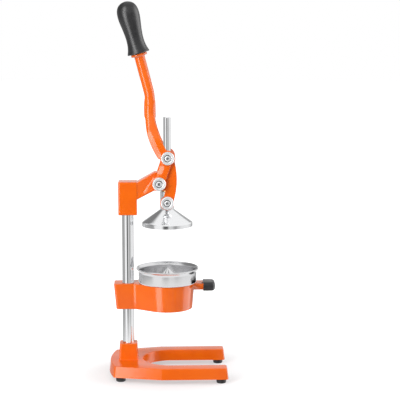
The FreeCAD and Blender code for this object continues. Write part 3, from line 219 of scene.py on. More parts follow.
class Finish:
    """One node tree and the one way to add a node to it."""

    def __init__(self, holder):
        holder.use_nodes = True
        self.tree = holder.node_tree
        self.tree.nodes.clear()

    def node(self, kind, settings=None, values=None, output=0):
        """Node with its settings, then its socket values or links; gives one output."""
        made = self.tree.nodes.new(kind)
        for name, setting in (settings or {}).items():
            if name == "stops":
                self.set_stops(made.color_ramp, setting)
            else:
                setattr(made, name, setting)
        for key, value in (values or {}).items():
            if isinstance(value, Signal):
                self.tree.links.new(value.socket, made.inputs[key])
            else:
                made.inputs[key].default_value = value
        return Signal(self, made.outputs[output]) if made.outputs else made

    def set_stops(self, ramp, stops):
        """Colour stops of a ramp, as (place, grey) pairs."""
        ramp.interpolation = "EASE"
        while len(ramp.elements) < len(stops):
            ramp.elements.new(0.5)
        for element, (place, grey) in zip(ramp.elements, stops):
            element.position = place
            element.color = (grey, grey, grey, 1)

    def place(self, centre=ORIGIN, scale=(1, 1, 1)):
        """The piece's own coordinates, from a centre, stretched."""
        where = self.node("ShaderNodeTexCoord", output="Object")
        moved = self.node("ShaderNodeVectorMath", {"operation": "SUBTRACT"}, {0: where, 1: centre})
        return self.scaled(moved, scale)

    def scaled(self, vector, scale):
        """Vector with each part multiplied."""
        return self.node("ShaderNodeVectorMath", {"operation": "MULTIPLY"}, {0: vector, 1: scale})

    def noise(self, place, size, detail=2.0, rough=0.5):
        """Soft noise whose lumps are about a size in metres."""
        return self.node("ShaderNodeTexNoise", {"noise_dimensions": "3D"},
                         {"Vector": place, "Scale": 1 / size, "Detail": detail,
                          "Roughness": rough})

    def rings(self, place, axis, pitch):
        """Turning marks round an axis, a pitch apart."""
        flat = [1.0, 1.0, 1.0]
        flat["XYZ".index(axis)] = 0.0
        radius = self.length(self.scaled(place, flat))
        along = self.node("ShaderNodeSeparateXYZ", values={0: place}, output=axis)
        return self.node("ShaderNodeTexNoise", {"noise_dimensions": "1D"},
                         {"W": (radius + along * 0.8) / pitch, "Scale": 1.0, "Detail": 3.0})

    def cells(self, place, size, output=0):
        """Cells about a size in metres; their distance, or their colour."""
        return self.node("ShaderNodeTexVoronoi", {"feature": "F1"},
                         {"Vector": place, "Scale": 1 / size}, output)

    def length(self, vector):
        """Length of a vector."""
        return self.node("ShaderNodeVectorMath", {"operation": "LENGTH"}, {0: vector}, "Value")

    def blend(self, amount, first, second):
        """Colour between two colours."""
        return self.node("ShaderNodeMix", {"data_type": "RGBA"},
                         {0: amount, 6: first, 7: second}, 2)

    def bump(self, height, depth, normal=None):
        """Normal of a surface that rises by depth where height is 1."""
        values = {"Height": height, "Distance": depth, "Strength": 1.0}
        if normal:
            values["Normal"] = normal
        return self.node("ShaderNodeBump", values=values)

    def surface(self, **values):
        """Principled surface, its sockets named with underscores for spaces."""
        sockets = {name.replace("_", " "): value for name, value in values.items()}
        shader = self.node("ShaderNodeBsdfPrincipled", values=sockets)
        self.node("ShaderNodeOutputMaterial", values={"Surface": shader})


def colour(value, share=1.0):
    """Colour with its alpha, brighter or darker by a share."""
    return (*(part * share for part in value), 1.0)


def new_material(name):
    """Empty material and its finish."""
    material = bpy.data.materials.new(name)
    return material, Finish(material)


def enamel():
    """Gloss enamel on cast metal: orange peel, slow waves of the casting, fine dust nibs."""
    material, make = new_material("orange_enamel")
    colours = bpy.context.scene.press_colours
    place = make.place()
    wave = make.noise(place, 22 * MM, 1.5)
    peel = make.noise(place, 1.9 * MM, 2.0)
    grain = make.noise(place, 0.35 * MM, 1.0)
    nibs = 1 - make.cells(place, 9 * MM).ramp(0.012, 0.05)
    tone = make.blend(wave.ramp(0.35, 0.7) * 0.6 + peel * 0.15,
                      colour(colours.enamel), colour(colours.enamel_deep))
    normal = make.bump(wave, 0.12 * MM)
    normal = make.bump(peel, 0.008 * MM, normal)
    normal = make.bump(nibs, 0.05 * MM, normal)
    make.surface(Base_Color=tone, Roughness=peel * 0.10 + grain * 0.06 + 0.40, Normal=normal,
                 Specular_IOR_Level=0.0, Coat_Weight=0.95 - nibs * 0.4, Coat_Roughness=0.2,
                 Coat_IOR=1.46)
    return material


def rubber(name, sheen=0.40):
    """Satin moulded rubber with a fine grain and a faint bloom."""
    material, make = new_material(name)
    tone = bpy.context.scene.press_colours.rubber
    place = make.place()
    grain = make.noise(place, 0.42 * MM, 2.0, 0.65)
    bloom = make.noise(place, 12 * MM, 3.0)
    speck = make.cells(place, 0.9 * MM)
    pale = colour(tone, 1.9)
    shade = make.blend(bloom.ramp(0.42, 0.75) * 0.7 + grain * 0.2, colour(tone), pale)
    normal = make.bump(grain, 0.035 * MM)
    normal = make.bump(speck.ramp(0.0, 0.5), 0.012 * MM, normal)
    make.surface(Base_Color=shade, Roughness=bloom * 0.14 + grain * 0.10 + sheen - 0.1,
                 Normal=normal, Specular_IOR_Level=0.45)
    return material


def drawn_chrome(name, centre=ORIGIN):
    """Chrome on a ground bar: bright, with hairlines along it and faint finger marks."""
    material, make = new_material(name)
    tone = bpy.context.scene.press_colours.chrome
    place = make.place(centre)
    lines = make.noise(make.place(centre, (1, 1, 0.012)), 0.16 * MM, 2.0)
    marks = make.noise(place, 16 * MM, 4.0, 0.6).ramp(0.52, 0.72)
    dim = colour(tone, 0.93)
    shade = make.blend(marks * 0.5 + lines * 0.12, colour(tone), dim)
    make.surface(Base_Color=shade, Metallic=1.0,
                 Roughness=marks * 0.05 + lines * 0.02 + 0.055,
                 Normal=make.bump(lines, 0.0004 * MM))
    return material


def turned_metal(name, tone, pitch, sheen, depth=0.0020):
    """Metal turned or spun round the press axis: rings, small scuffs and a soft mottle."""
    material, make = new_material(name)
    place = make.place()
    rings = make.rings(place, "Z", pitch * MM)
    mottle = make.noise(place, 7 * MM, 3.0, 0.6)
    scuff = make.noise(make.place(scale=(1, 1, 9)), 2.6 * MM, 4.0, 0.7).ramp(0.60, 0.74)
    dim = colour(tone, 0.86)
    shade = make.blend(rings * 0.35 + scuff * 0.25, colour(tone), dim)
    make.surface(Base_Color=shade, Metallic=1.0,
                 Roughness=rings * 0.05 + mottle * 0.05 + scuff * 0.08 + sheen,
                 Normal=make.bump(rings, depth * MM))
    return material


def zinc_plate():
    """Zinc plate on small screws: cool grey with a cloudy spangle."""
    material, make = new_material("zinc_plate")
    tone = bpy.context.scene.press_colours.zinc
    place = make.place()
    spangle = make.cells(place, 1.3 * MM, "Color")
    cloud = make.noise(place, 3 * MM, 3.0)
    warm = colour((tone[0] * 1.04, tone[1] * 0.98, tone[2] * 0.86))
    shade = make.blend(cloud.ramp(0.3, 0.7) * 0.6, colour(tone), warm)
    make.surface(Base_Color=shade, Metallic=1.0, Roughness=spangle * 0.14 + cloud * 0.08 + 0.22,
                 Normal=make.bump(cloud, 0.01 * MM))
    return material


MATERIALS = {}


def finish_of(name):
    """Material of a name, made the first time that a piece asks for it."""
    if name not in MATERIALS:
        colours = bpy.context.scene.press_colours
        reach = bpy.context.scene.press_sizes.column_reach
        makers = {
            "enamel": enamel,
            "grip_rubber": lambda: rubber("grip_rubber", 0.33),
            "foot_rubber": lambda: rubber("foot_rubber", 0.58),
            "cap_rubber": lambda: rubber("cap_rubber", 0.34),
            "column_chrome": lambda: drawn_chrome("column_chrome", (-reach, 0, 0)),
            "rod_chrome": lambda: drawn_chrome("rod_chrome"),
            "bell_chrome": lambda: turned_metal("bell_chrome", colours.chrome, pitch=0.5,
                                                sheen=0.09, depth=0.0012),
            "main_disc": lambda: pivot_chrome("main"),
            "upper_disc": lambda: pivot_chrome("upper"),
            "press_disc": lambda: pivot_chrome("press"),
            "cup_steel": lambda: turned_metal("cup_steel", colours.steel, pitch=0.34,
                                              sheen=0.13),
            "reamer_steel": lambda: turned_metal("reamer_steel", colours.steel, pitch=0.6,
                                                 sheen=0.16),
            "zinc": zinc_plate,
            "bronze": lambda: turned_metal("bush_bronze", colours.bronze, pitch=0.4,
                                           sheen=0.26),
        }
        MATERIALS[name] = makers[name]()
    return MATERIALS[name]


def pivot_chrome(pivot):
    """Turned chrome round one pivot, with painted shade in the recess about the bolt and in its
    socket.
    """
    low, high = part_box(f"{pivot}_pivot_washers")
    material, make = new_material(f"{pivot}_disc")
    place = make.place((low + high) / 2)
    radius = make.length(make.scaled(place, (1, 0, 1)))
    rings = make.rings(place, "Y", 0.42 * MM)
    # Painted shade: the ring recess about the bolt head and the hex socket are darkened by radius,
    # where shade falls
    painted_recess_shade = radius.ramp(5.0 * MM, 5.6 * MM) * (1 - radius.ramp(6.4 * MM, 6.9 * MM))
    socket = 1 - radius.ramp(2.2 * MM, 2.8 * MM)
    tone = bpy.context.scene.press_colours.chrome
    bright = make.blend(rings * 0.3, colour(tone, 0.78), colour(tone, 0.70))
    # The near-black colour is the painted shade, blended in over the recess and the socket
    shade = make.blend(painted_recess_shade * 0.72 + socket * 0.72, bright, (0.05, 0.05, 0.055, 1))
    make.surface(Base_Color=shade, Metallic=1.0, Roughness=rings * 0.06 + 0.42,
                 Normal=make.bump(rings, 0.0020 * MM))
    return material


# Mesh tools

def kept_mesh(name, mesh):
    """Mesh data of a working mesh, which is freed."""
    data = bpy.data.meshes.new(name)
    mesh.to_mesh(data)
    mesh.free()
    return data


def put(name, data):
    """Object with its data, in the scene."""
    thing = bpy.data.objects.new(name, data)
    bpy.context.scene.collection.objects.link(thing)
    return thing


def solved_mesh(thing):
    """Working mesh of an object with its modifiers applied."""
    bpy.context.view_layer.update()
    solved = thing.evaluated_get(bpy.context.evaluated_depsgraph_get())
    mesh = bmesh.new()
    mesh.from_mesh(solved.to_mesh())
    return mesh


def discard(thing):
    """Removes an object and its mesh."""
    data = thing.data
    bpy.data.objects.remove(thing)
    bpy.data.meshes.remove(data)


def packed_mesh(node):
    """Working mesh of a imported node's own faces."""
    mesh = bmesh.new()
    mesh.from_mesh(frame["nodes"][node].data)
    bmesh.ops.remove_doubles(mesh, verts=mesh.verts, dist=WELD)
    return mesh


def prism(sides, radius, depth):
    """Upright prism about the origin, in metres."""
    mesh = bmesh.new()
    bmesh.ops.create_cone(mesh, cap_ends=True, segments=sides, radius1=radius, radius2=radius,
                          depth=depth)
    return mesh


def block(size):
    """Box about the origin, its size in metres."""
    mesh = bmesh.new()
    bmesh.ops.create_cube(mesh, size=1)
    bmesh.ops.scale(mesh, vec=size, verts=mesh.verts)
    return mesh


def move(mesh, place):
    """Moves a mesh by a vector in metres."""
    bmesh.ops.translate(mesh, vec=place, verts=mesh.verts)


def rotate(mesh, angle, axis):
    """Turns a mesh round an axis through the origin."""
    matrix = Matrix.Rotation(angle, 3, axis)
    bmesh.ops.rotate(mesh, cent=ORIGIN, matrix=matrix, verts=mesh.verts)


def wire(mesh, corners, steps):
    """Closed line through (x, z, rounding) corners in the XZ plane, in millimetres."""
    verts = [mesh.verts.new((corner[0] * MM, 0, corner[1] * MM)) for corner in corners]
    for pair in [*zip(verts, verts[1:]), (verts[-1], verts[0])]:
        mesh.edges.new(pair)
    for vert, corner in zip(verts, corners):
        if len(corner) > 2 and corner[2]:
            bmesh.ops.bevel(mesh, geom=[vert], offset=corner[2] * MM, offset_type="OFFSET",
                            segments=steps, profile=0.5, affect="VERTICES", material=-1)


def lathe(corners, steps=None, corner_steps=4):
    """Solid turned round Z from a profile of (radius, level, rounding) corners."""
    mesh = bmesh.new()
    wire(mesh, corners, corner_steps)
    count = steps or bpy.context.scene.press_sizes.turn_steps
    bmesh.ops.spin(mesh, geom=mesh.verts[:] + mesh.edges[:], cent=ORIGIN, axis=UP, dvec=ORIGIN,
                   angle=FULL_TURN, steps=count, use_merge=True, use_duplicate=False)
    bmesh.ops.remove_doubles(mesh, verts=mesh.verts, dist=WELD)
    bmesh.ops.dissolve_degenerate(mesh, dist=WELD, edges=mesh.edges)
    bmesh.ops.recalc_face_normals(mesh, faces=mesh.faces)
    return mesh


def turned_to(mesh, side, centre):
    """Turns a piece made along Z so that it points to one side of the press, and places it."""
    rotate(mesh, -side * math.pi / 2, "X")
    move(mesh, centre)


def join(target, extra):
    """Adds one mesh to another."""
    spare = kept_mesh("spare", extra)
    target.from_mesh(spare)
    bpy.data.meshes.remove(spare)


def hex_socket(mesh, radius, depth):
    """Sinks a hexagon socket into the flat top at the middle of a turned piece."""
    top = max(vert.co.z for vert in mesh.verts)
    tool = prism(6, radius, 2 * depth)
    move(tool, (0, 0, top))
    return carve(mesh, tool)


def carve(mesh, tool):
    """Cuts one mesh out of another."""
    shapes = [put("cut", kept_mesh("cut", part)) for part in (mesh, tool)]
    cut = shapes[0].modifiers.new("cut", "BOOLEAN")
    cut.operation = "DIFFERENCE"
    cut.solver = "EXACT"
    cut.object = shapes[1]
    result = solved_mesh(shapes[0])
    for thing in shapes:
        discard(thing)
    return result


def add_piece(name, mesh, finish, body, node, crease=32, smooth=0):
    """Finished piece in the scene: its mesh, material and body; the node that it stands for is
    hidden.
    """
    data = kept_mesh(name, mesh)
    data.polygons.foreach_set("use_smooth", [True] * len(data.polygons))
    data.set_sharp_from_angle(angle=math.radians(crease))
    data.materials.append(finish_of(finish))
    piece = put(name, data)
    if smooth:
        layer = piece.modifiers.new("smooth", "SUBSURF")
        layer.levels = layer.render_levels = smooth
    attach(piece, body)
    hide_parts(node)
    return piece


def casting(node, body):
    """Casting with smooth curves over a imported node's own faces."""
    mesh = packed_mesh(node)
    bmesh.ops.dissolve_limit(mesh, angle_limit=math.radians(FLAT_ANGLE), verts=mesh.verts,
                             edges=mesh.edges)
    return add_piece(f"{node}_casting", mesh, "enamel", body, node, crease=30)


def lever_casting():
    """The lever over a fine even skin, shaped point by point, smoothest where its stem starts."""
    skin = even_skin(packed_mesh("lever"), SKIN_GRAIN)
    shape_lever(skin)
    for turn in range(JOIN_PASSES):
        reach = JOIN_MARGIN * (1 - turn / JOIN_PASSES)
        soften(skin, [vert for vert in skin.verts
                      if JOIN_FOOT - reach < vert.co.z < JOIN_HEAD + reach])
    for turn in range(SKIN_PASSES):
        soften(skin, skin.verts)
    return add_piece("lever_casting", skin, "enamel", "lever", "lever", crease=50)


def soften(mesh, verts):
    """Moves points half-way to the mean of their neighbours."""
    bmesh.ops.smooth_vert(mesh, verts=verts, factor=0.5, use_axis_x=True, use_axis_y=True,
                          use_axis_z=True)


def eased(value, low, high):
    """Smooth step from 0 at low to 1 at high."""
    part = min(1.0, max(0.0, (value - low) / (high - low)))
    return part * part * (3 - 2 * part)


def swell(value, rise, fall):
    """Smooth hill that rises over one span of a value and falls over another."""
    return eased(value, *rise) * (1 - eased(value, *fall))


def shape_lever(skin):
    """Rounds the lever's arm into its stem and leans the rear edges of its cheeks."""
    flank = {}
    for vert in skin.verts:
        level = round(vert.co.z / MM)
        flank[level] = max(flank.get(level, 0.0), abs(vert.co.y) / MM)
    for vert in skin.verts:
        x, y, z = vert.co / MM
        if z > STEM_START:
            round_stem(vert)
            continue
        half = flank[round(z)]
        x, y, z = arm_point(x, y, z, half)
        vert.co = Vector(cheek_point(x, y, z, half)) * MM


def arm_point(x, y, z, half):
    """A point of the curved arm, its section turned from a bar's to the stem's."""
    bend_x, bend_z = BEND_X - x, BEND_Z - z
    if bend_z > 0:
        away = math.hypot(bend_x, bend_z)
        along = math.degrees(math.atan2(bend_z, bend_x))
        outward = Vector((-bend_x / away, -bend_z / away))
    else:
        away, along, outward = bend_x, 0.0, Vector((-1.0, 0.0))
    start = away - BEND_RADIUS
    p, q = start, y
    amount = eased(z, *ARM_ROUNDS)
    if amount:
        wide = ARM_HALF - (ARM_HALF - STEM_RADIUS) * eased(z, *ARM_NARROWS)
        deep = half + (STEM_RADIUS - half) * eased(z, *ARM_THICKENS)
        turn = math.atan2(q / deep, p / wide)
        full = math.hypot(wide * math.cos(turn), deep * math.sin(turn))
        edge = min(wide / max(abs(p), TINY), half / max(abs(q), TINY)) * math.hypot(p, q)
        scale = 1 + (full / edge - 1) * amount
        p, q = p * scale, q * scale
    lean = swell(along, ARM_LEAN_RISE, ARM_LEAN_FALL)
    p, q = leaned(p, q, ARM_HALF, half, ARM_CUT[0] * lean, ARM_CUT[1] * lean)
    run = Vector((x, z)) + outward * (p - start)
    return run.x, q, run.y


def cheek_point(x, y, z, half):
    """A point of the lower cheeks, leaned at the outer corner of the rear edge."""
    off_x, off_z = CHEEK_X - x, CHEEK_Z - z
    lean = swell(off_x * CHEEK_SINE + off_z * CHEEK_COSINE, CHEEK_LEAN_RISE, CHEEK_LEAN_FALL)
    if not lean or abs(y) <= CHEEK_GAP:
        return x, y, z
    side = off_x * CHEEK_COSINE - off_z * CHEEK_SINE
    moved, y = leaned(side, y, CHEEK_HALF, half, CHEEK_CUT[0] * lean, CHEEK_CUT[1] * lean)
    return x - CHEEK_COSINE * (moved - side), y, z + CHEEK_SINE * (moved - side)


def round_stem(vert):
    """Sets a point of the lever's straight stem on a true cylinder."""
    foot = Vector(STEM_FOOT) * MM
    lean = bpy.context.scene.press_sizes.lever_lean
    line = Vector((-math.sin(lean), 0, math.cos(lean)))
    along = (vert.co - foot).dot(line)
    away = vert.co - foot - line * along
    straight = STEM_SPAN[0] * MM < along < STEM_SPAN[1] * MM
    if straight and STEM_SKIN[0] * MM < away.length < STEM_SKIN[1] * MM:
        vert.co = foot + line * along + away.normalized() * STEM_RADIUS * MM


def leaned(p, q, wide, half, cut_p, cut_q):
    """A point (p outward, q sideways), moved onto a slope that cuts a section's outer corner."""
    if min(cut_p, cut_q) < LEAST_CUT:
        return p, q
    u, v = wide - p, half - abs(q)
    short = 1 - u / cut_p - v / cut_q
    if short <= 0:
        return p, q
    pull = short / (cut_p ** -2 + cut_q ** -2)
    return p - pull / cut_p, math.copysign(abs(q) - pull / cut_q, q)


def even_skin(mesh, grain):
    """The mesh with its faces made again, all about a size."""
    thing = put("skin", kept_mesh("skin", mesh))
    layer = thing.modifiers.new("skin", "REMESH")
    layer.mode = "VOXEL"
    layer.voxel_size = grain
    skin = solved_mesh(thing)
    discard(thing)
    return skin


def extent(node):
    """A node's lowest and highest corner, in millimetres."""
    low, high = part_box(node)
    return low / MM, high / MM


def axis_of(node):
    """Where an upright node's axis meets the floor, in metres."""
    low, high = extent(node)
    return Vector(((low.x + high.x) / 2, (low.y + high.y) / 2, 0)) * MM


# Pieces

class PRESS_OT_castings(bpy.types.Operator):
    """Dress the enamelled castings: base, cup holder, bracket, lever and links."""
    bl_idname = "press.castings"
    bl_label = "Castings"

    def execute(self, context):
        casting("base", "frame")
        upper = (casting("cup_holder", "frame"), casting("bracket", "frame"), lever_casting(),
                 casting("link_left", "link"), casting("link_right", "link"))
        for piece in upper:
            piece.visible_glossy = False
        return {"FINISHED"}


class PRESS_OT_column(bpy.types.Operator):
    """Turn the chromed column, its washer and the bolt that holds it from below."""
    bl_idname = "press.column"
    bl_label = "Column"

    def execute(self, context):
        low, high = extent("column")
        radius = (high.x - low.x) / 2
        centre = axis_of("column")
        mesh = lathe([(0, low.z), (radius, low.z, 1.0), (radius, high.z, 1.0), (0, high.z)],
                     corner_steps=5)
        move(mesh, centre)
        add_piece("column_bar", mesh, "column_chrome", "frame", "column")
        low, high = extent("column_washer")
        outer = (high.x - low.x) / 2
        bore = 5.3
        mesh = lathe([(bore, low.z, 0.2), (outer, low.z, 0.4), (outer, high.z, 0.4),
                      (bore, high.z, 0.2)], steps=48)
        move(mesh, centre)
        add_piece("column_washer_disc", mesh, "zinc", "frame", "column_washer")
        low, high = extent("column_bolt")
        head_top, shank = low.z + 6.0, 5.0
        mesh = hexagon_head(17.0, low.z, head_top)
        join(mesh, lathe([(0, head_top - 1), (shank, head_top - 1), (shank, high.z, 0.8),
                          (0, high.z)], steps=40))
        move(mesh, centre)
        add_piece("column_bolt_hex", mesh, "zinc", "frame", "column_bolt")
        return {"FINISHED"}


def hexagon_head(flats, low, high, bore=0.0):
    """Hexagon with its lower corners turned off, as on bolts and nuts."""
    corner = flats / math.sqrt(3)
    mesh = prism(6, corner * MM, (high - low) * MM)
    move(mesh, (0, 0, (low + high) / 2 * MM))
    limit = flats / 2 * 1.02
    lift = (corner - limit) * 0.6
    mesh = carve(mesh, lathe([(corner + 3, low - 3), (corner + 3, high + 3), (limit, high + 3),
                              (limit, high), (corner + 0.2, high), (corner + 0.2, low + lift),
                              (limit, low), (limit, low - 3)], steps=72))
    if bore:
        mesh = carve(mesh, lathe([(0, low - 2), (bore, low - 2), (bore, high + 2), (0, high + 2)],
                                 steps=48))
    return mesh


class PRESS_OT_feet(bpy.types.Operator):
    """Turn the four rubber feet and the screws that hold them."""
    bl_idname = "press.feet"
    bl_label = "Feet"

    def execute(self, context):
        for name in CORNERS:
            low, high = extent(f"foot_{name}")
            radius = (high.x - low.x) / 2
            mesh = lathe([(2.6, 4.2), (5.4, 4.2, 0.3), (5.4, 0, 0.5), (radius - 0.8, 0, 1.1),
                          (radius, high.z - 2.2, 0.6), (radius - 0.5, high.z - 1.6, 0.3),
                          (radius - 0.5, high.z - 0.9, 0.3), (radius - 0.1, high.z, 0.3),
                          (2.6, high.z)], steps=64)
            move(mesh, axis_of(f"foot_{name}"))
            add_piece(f"foot_pad_{name}", mesh, "foot_rubber", "frame",
                      f"foot_{name}")
        low, high = extent("foot_screws")
        screws = bmesh.new()
        for name in CORNERS:
            screw = pan_screw(low.z, high.z, head=(4.6, 2.8, 1.4), tip=0.5)
            for turn in (0, math.pi / 2):
                slot = block((4.6 * MM, 0.9 * MM, 2.6 * MM))
                rotate(slot, turn, "Z")
                move(slot, (0, 0, low.z * MM))
                screw = carve(screw, slot)
            move(screw, axis_of(f"foot_{name}"))
            join(screws, screw)
        add_piece("foot_screws_cross", screws, "zinc", "frame", "foot_screws")
        return {"FINISHED"}


def pan_screw(low, high, head, tip):
    """Screw from below with a head of (radius, height, rounding), on a shank 5 mm thick."""
    radius, height, corner = head
    shank = 2.5
    return lathe([(0, low), (radius, low, corner), (radius, low + height), (shank, low + height),
                  (shank, high, tip), (0, high)], steps=40)


class PRESS_OT_cup(bpy.types.Operator):
    """Spin the strainer cup with its rolled rim and juice holes, and the funnel under it."""
    bl_idname = "press.cup"
    bl_label = "Cup and Funnel"

    def execute(self, context):
        sizes = context.scene.press_sizes
        low, high = extent("strainer_cup")
        rim, wall, step, sheet = high.x, 54.8, 44.2, 1.2
        floor, top = low.z, high.z
        seat = extent("cup_holder")[1].z + 0.05
        cup = lathe([(0, floor), (step, floor, 1.2), (step, seat, 0.6), (wall - 0.5, seat, 2.6),
                     (wall, top - 6.4, 2.4), (rim - 1.6, top - 3.2, 1.0), (rim, top - 1.9, 0.9),
                     (rim - 0.6, top, 0.9), (rim - 2.2, top - 0.5, 0.8),
                     (wall - sheet, top - 5.0, 2.4), (wall - sheet - 0.5, seat + sheet, 2.0),
                     (step - sheet, seat + sheet, 1.4), (step - sheet, floor + sheet, 0.6),
                     (0, floor + sheet)], steps=160)
        holes = bmesh.new()
        for count, radius in ((sizes.inner_holes, 33.6), (sizes.outer_holes, 38.6)):
            drill = prism(20, 1.6 * MM, 6 * MM)
            move(drill, Vector((radius, 0, floor)) * MM)
            bmesh.ops.spin(drill, geom=drill.verts[:] + drill.edges[:] + drill.faces[:],
                           cent=ORIGIN, axis=UP, dvec=ORIGIN, use_duplicate=True,
                           angle=FULL_TURN * (count - 1) / count, steps=count - 1)
            join(holes, drill)
        cup = carve(cup, holes)
        add_piece("cup_bowl", cup, "cup_steel", "frame", "strainer_cup",
                  crease=40)
        low, high = extent("juice_funnel")
        rim, top, spout, bore = high.x, high.z, 14.0, 12.8
        funnel = lathe([(rim, top, 0.5), (40.6, top, 1.4), (38.4, top - 1.4, 1.0),
                        (15.2, top - 18.4, 2.4), (spout, top - 20.5, 0.8), (spout, low.z, 0.3),
                        (bore, low.z, 0.3), (bore, top - 20.2, 0.8), (13.9, top - 17.2, 2.4),
                        (37.5, top - 2.0, 1.0), (39.7, top - 1.2, 1.0),
                        (rim, top - 1.2, 0.4)], steps=128)
        add_piece("funnel_cone", funnel, "cup_steel", "frame", "juice_funnel")
        return {"FINISHED"}


class PRESS_OT_reamer(bpy.types.Operator):
    """Model the ribbed reamer and the screw that holds it."""
    bl_idname = "press.reamer"
    bl_label = "Reamer"

    def execute(self, context):
        ribs = context.scene.press_sizes.reamer_ribs
        low, high = extent("reamer")
        brim = high.x
        foot, top = low.z, high.z
        levels = 26
        cone_foot = foot + 1.9
        profile = [(0, foot), (brim, foot, 0.5), (brim, foot + 1.4, 0.6), (brim - 1.4, cone_foot)]
        reach, climb = brim - 3.0, top - cone_foot
        for level in range(levels):
            part = level / levels
            profile.append((reach * (1 - part ** 1.35) * (1 - 0.10 * part) + 1.2 * part,
                            cone_foot + climb * part))
        profile += [(1.4, top - 0.35), (0, top)]
        mesh = lathe(profile, steps=16 * ribs)
        for vert in mesh.verts:
            height = vert.co.z / MM - cone_foot
            if height <= BRIM_EASE:
                continue
            turn = math.atan2(vert.co.y, vert.co.x)
            crest = (1 - abs(math.sin(turn * ribs / 2))) ** 1.25
            fade = min(1, height / 5) * (1 - 0.55 * (height / climb) ** 4)
            shrink = 1 - 0.26 * fade * (1 - crest)
            vert.co.x *= shrink
            vert.co.y *= shrink
        add_piece("reamer_cone", mesh, "reamer_steel", "frame", "reamer", crease=50)
        low, high = extent("reamer_screw")
        screw = pan_screw(low.z, high.z, head=(5.0, 2.6, 0.9), tip=0.4)
        add_piece("reamer_screw_pan", screw, "zinc", "frame", "reamer_screw")
        return {"FINISHED"}


class PRESS_OT_plunger(bpy.types.Operator):
    """Turn the pressing bell, its neck, the rod and the nut inside the bell."""
    bl_idname = "press.plunger"
    bl_label = "Bell and Rod"

    def execute(self, context):
        low, high = extent("press_bell")
        rim, neck, sheet = high.x, 13.25, 1.8
        foot, top, lip = low.z, high.z, 7.5
        slope = (top - foot - lip) / (rim - neck)
        inside = rim - sheet
        under = top - sheet * math.hypot(1, slope)
        shoulder = neck - 0.6
        bell = lathe([(ROD_BORE, top), (neck, top, 0.5),
                      (rim - 0.9, foot + lip + 0.9 * slope, 1.4), (rim, foot + lip - 0.9, 1.0),
                      (rim, foot, 0.7), (inside, foot, 0.7), (inside, foot + lip - 1.6, 0.8),
                      (shoulder, under, 1.0), (ROD_BORE, under)], steps=160, corner_steps=5)
        add_piece("bell_cone", bell, "bell_chrome", "press", "press_bell")
        low, high = extent("press_neck")
        radius = high.x
        collar = lathe([(ROD_BORE, low.z), (radius, low.z, 0.5), (radius, high.z, 1.2),
                        (ROD_BORE, high.z)])
        add_piece("neck_sleeve", collar, "bell_chrome", "press", "press_neck")
        low, high = extent("press_rod")
        rod = lathe([(0, low.z), (high.x, low.z, 0.4), (high.x, high.z, 1.2), (0, high.z)],
                    steps=72)
        add_piece("rod_bar", rod, "rod_chrome", "press", "press_rod")
        low, high = extent("bell_nut")
        nut = hexagon_head(21.0, low.z, high.z, bore=7.05)
        add_piece("bell_nut_hex", nut, "zinc", "press", "bell_nut")
        return {"FINISHED"}


class PRESS_OT_guide(bpy.types.Operator):
    """Dress the bronze bush that guides the rod through the bracket."""
    bl_idname = "press.guide"
    bl_label = "Guide Bush"

    def execute(self, context):
        add_piece("guide_bush_turned", packed_mesh("guide_bush"), "bronze", "frame",
                  "guide_bush")
        return {"FINISHED"}


class PRESS_OT_pivots(bpy.types.Operator):
    """Turn the chromed washers and the socket-head bolts of the three pivots."""
    bl_idname = "press.pivots"
    bl_label = "Pivots"

    def execute(self, context):
        for pivot, body in (("main", "lever"), ("upper", "lever"), ("press", "link")):
            low, high = extent(f"{pivot}_pivot_washers")
            centre = Vector(((low.x + high.x) / 2, 0, (low.z + high.z) / 2))
            radius, outer = (high.x - low.x) / 2, high.y
            bolt_high = extent(f"{pivot}_pivot_bolts")[1]
            shank = pin_reach(f"{pivot}_pivot_bolts")
            washers, bolts = bmesh.new(), bmesh.new()
            face = outer - DISC_DEPTH
            length, head = face - shank, bolt_high.y - face
            for side in SIDES:
                seat = Vector((centre.x, side * face, centre.z)) * MM
                washer = lathe([(4.6, 0), (radius, 0, 0.3), (radius, 3.7, 0.9),
                                (radius - 1.0, DISC_DEPTH, 0.7), (6.9, 4.15, 0.35),
                                (6.6, 3.7, 0.2), (6.6, 0.85, 0.3), (4.6, 0.85)], steps=96)
                turned_to(washer, side, seat)
                join(washers, washer)
                bolt = lathe([(0, -length), (4.45, -length, 0.5), (4.45, 0.82), (5.4, 0.82, 0.2),
                              (5.4, head, 0.9), (0, head)], steps=64)
                bolt = hex_socket(bolt, 3.0 * MM, 2.4 * MM)
                turned_to(bolt, side, seat)
                join(bolts, bolt)
            add_piece(f"{pivot}_pivot_discs", washers, f"{pivot}_disc", body,
                      f"{pivot}_pivot_washers")
            add_piece(f"{pivot}_pivot_socket_bolts", bolts, f"{pivot}_disc", body,
                      f"{pivot}_pivot_bolts")
        return {"FINISHED"}


def pin_reach(node):
    """How near a pair of bolts comes to the middle plane, in millimetres."""
    return min(abs(vert.co.y) for vert in frame["nodes"][node].data.vertices) / MM


class PRESS_OT_set_screws(bpy.types.Operator):
    """Dress the set screws that lock the cup holder and the bracket on the column."""
    bl_idname = "press.set_screws"
    bl_label = "Set Screws"

    def execute(self, context):
        add_piece("set_screws_socket", packed_mesh("set_screws"), "zinc", "frame",
                  "set_screws")
        return {"FINISHED"}


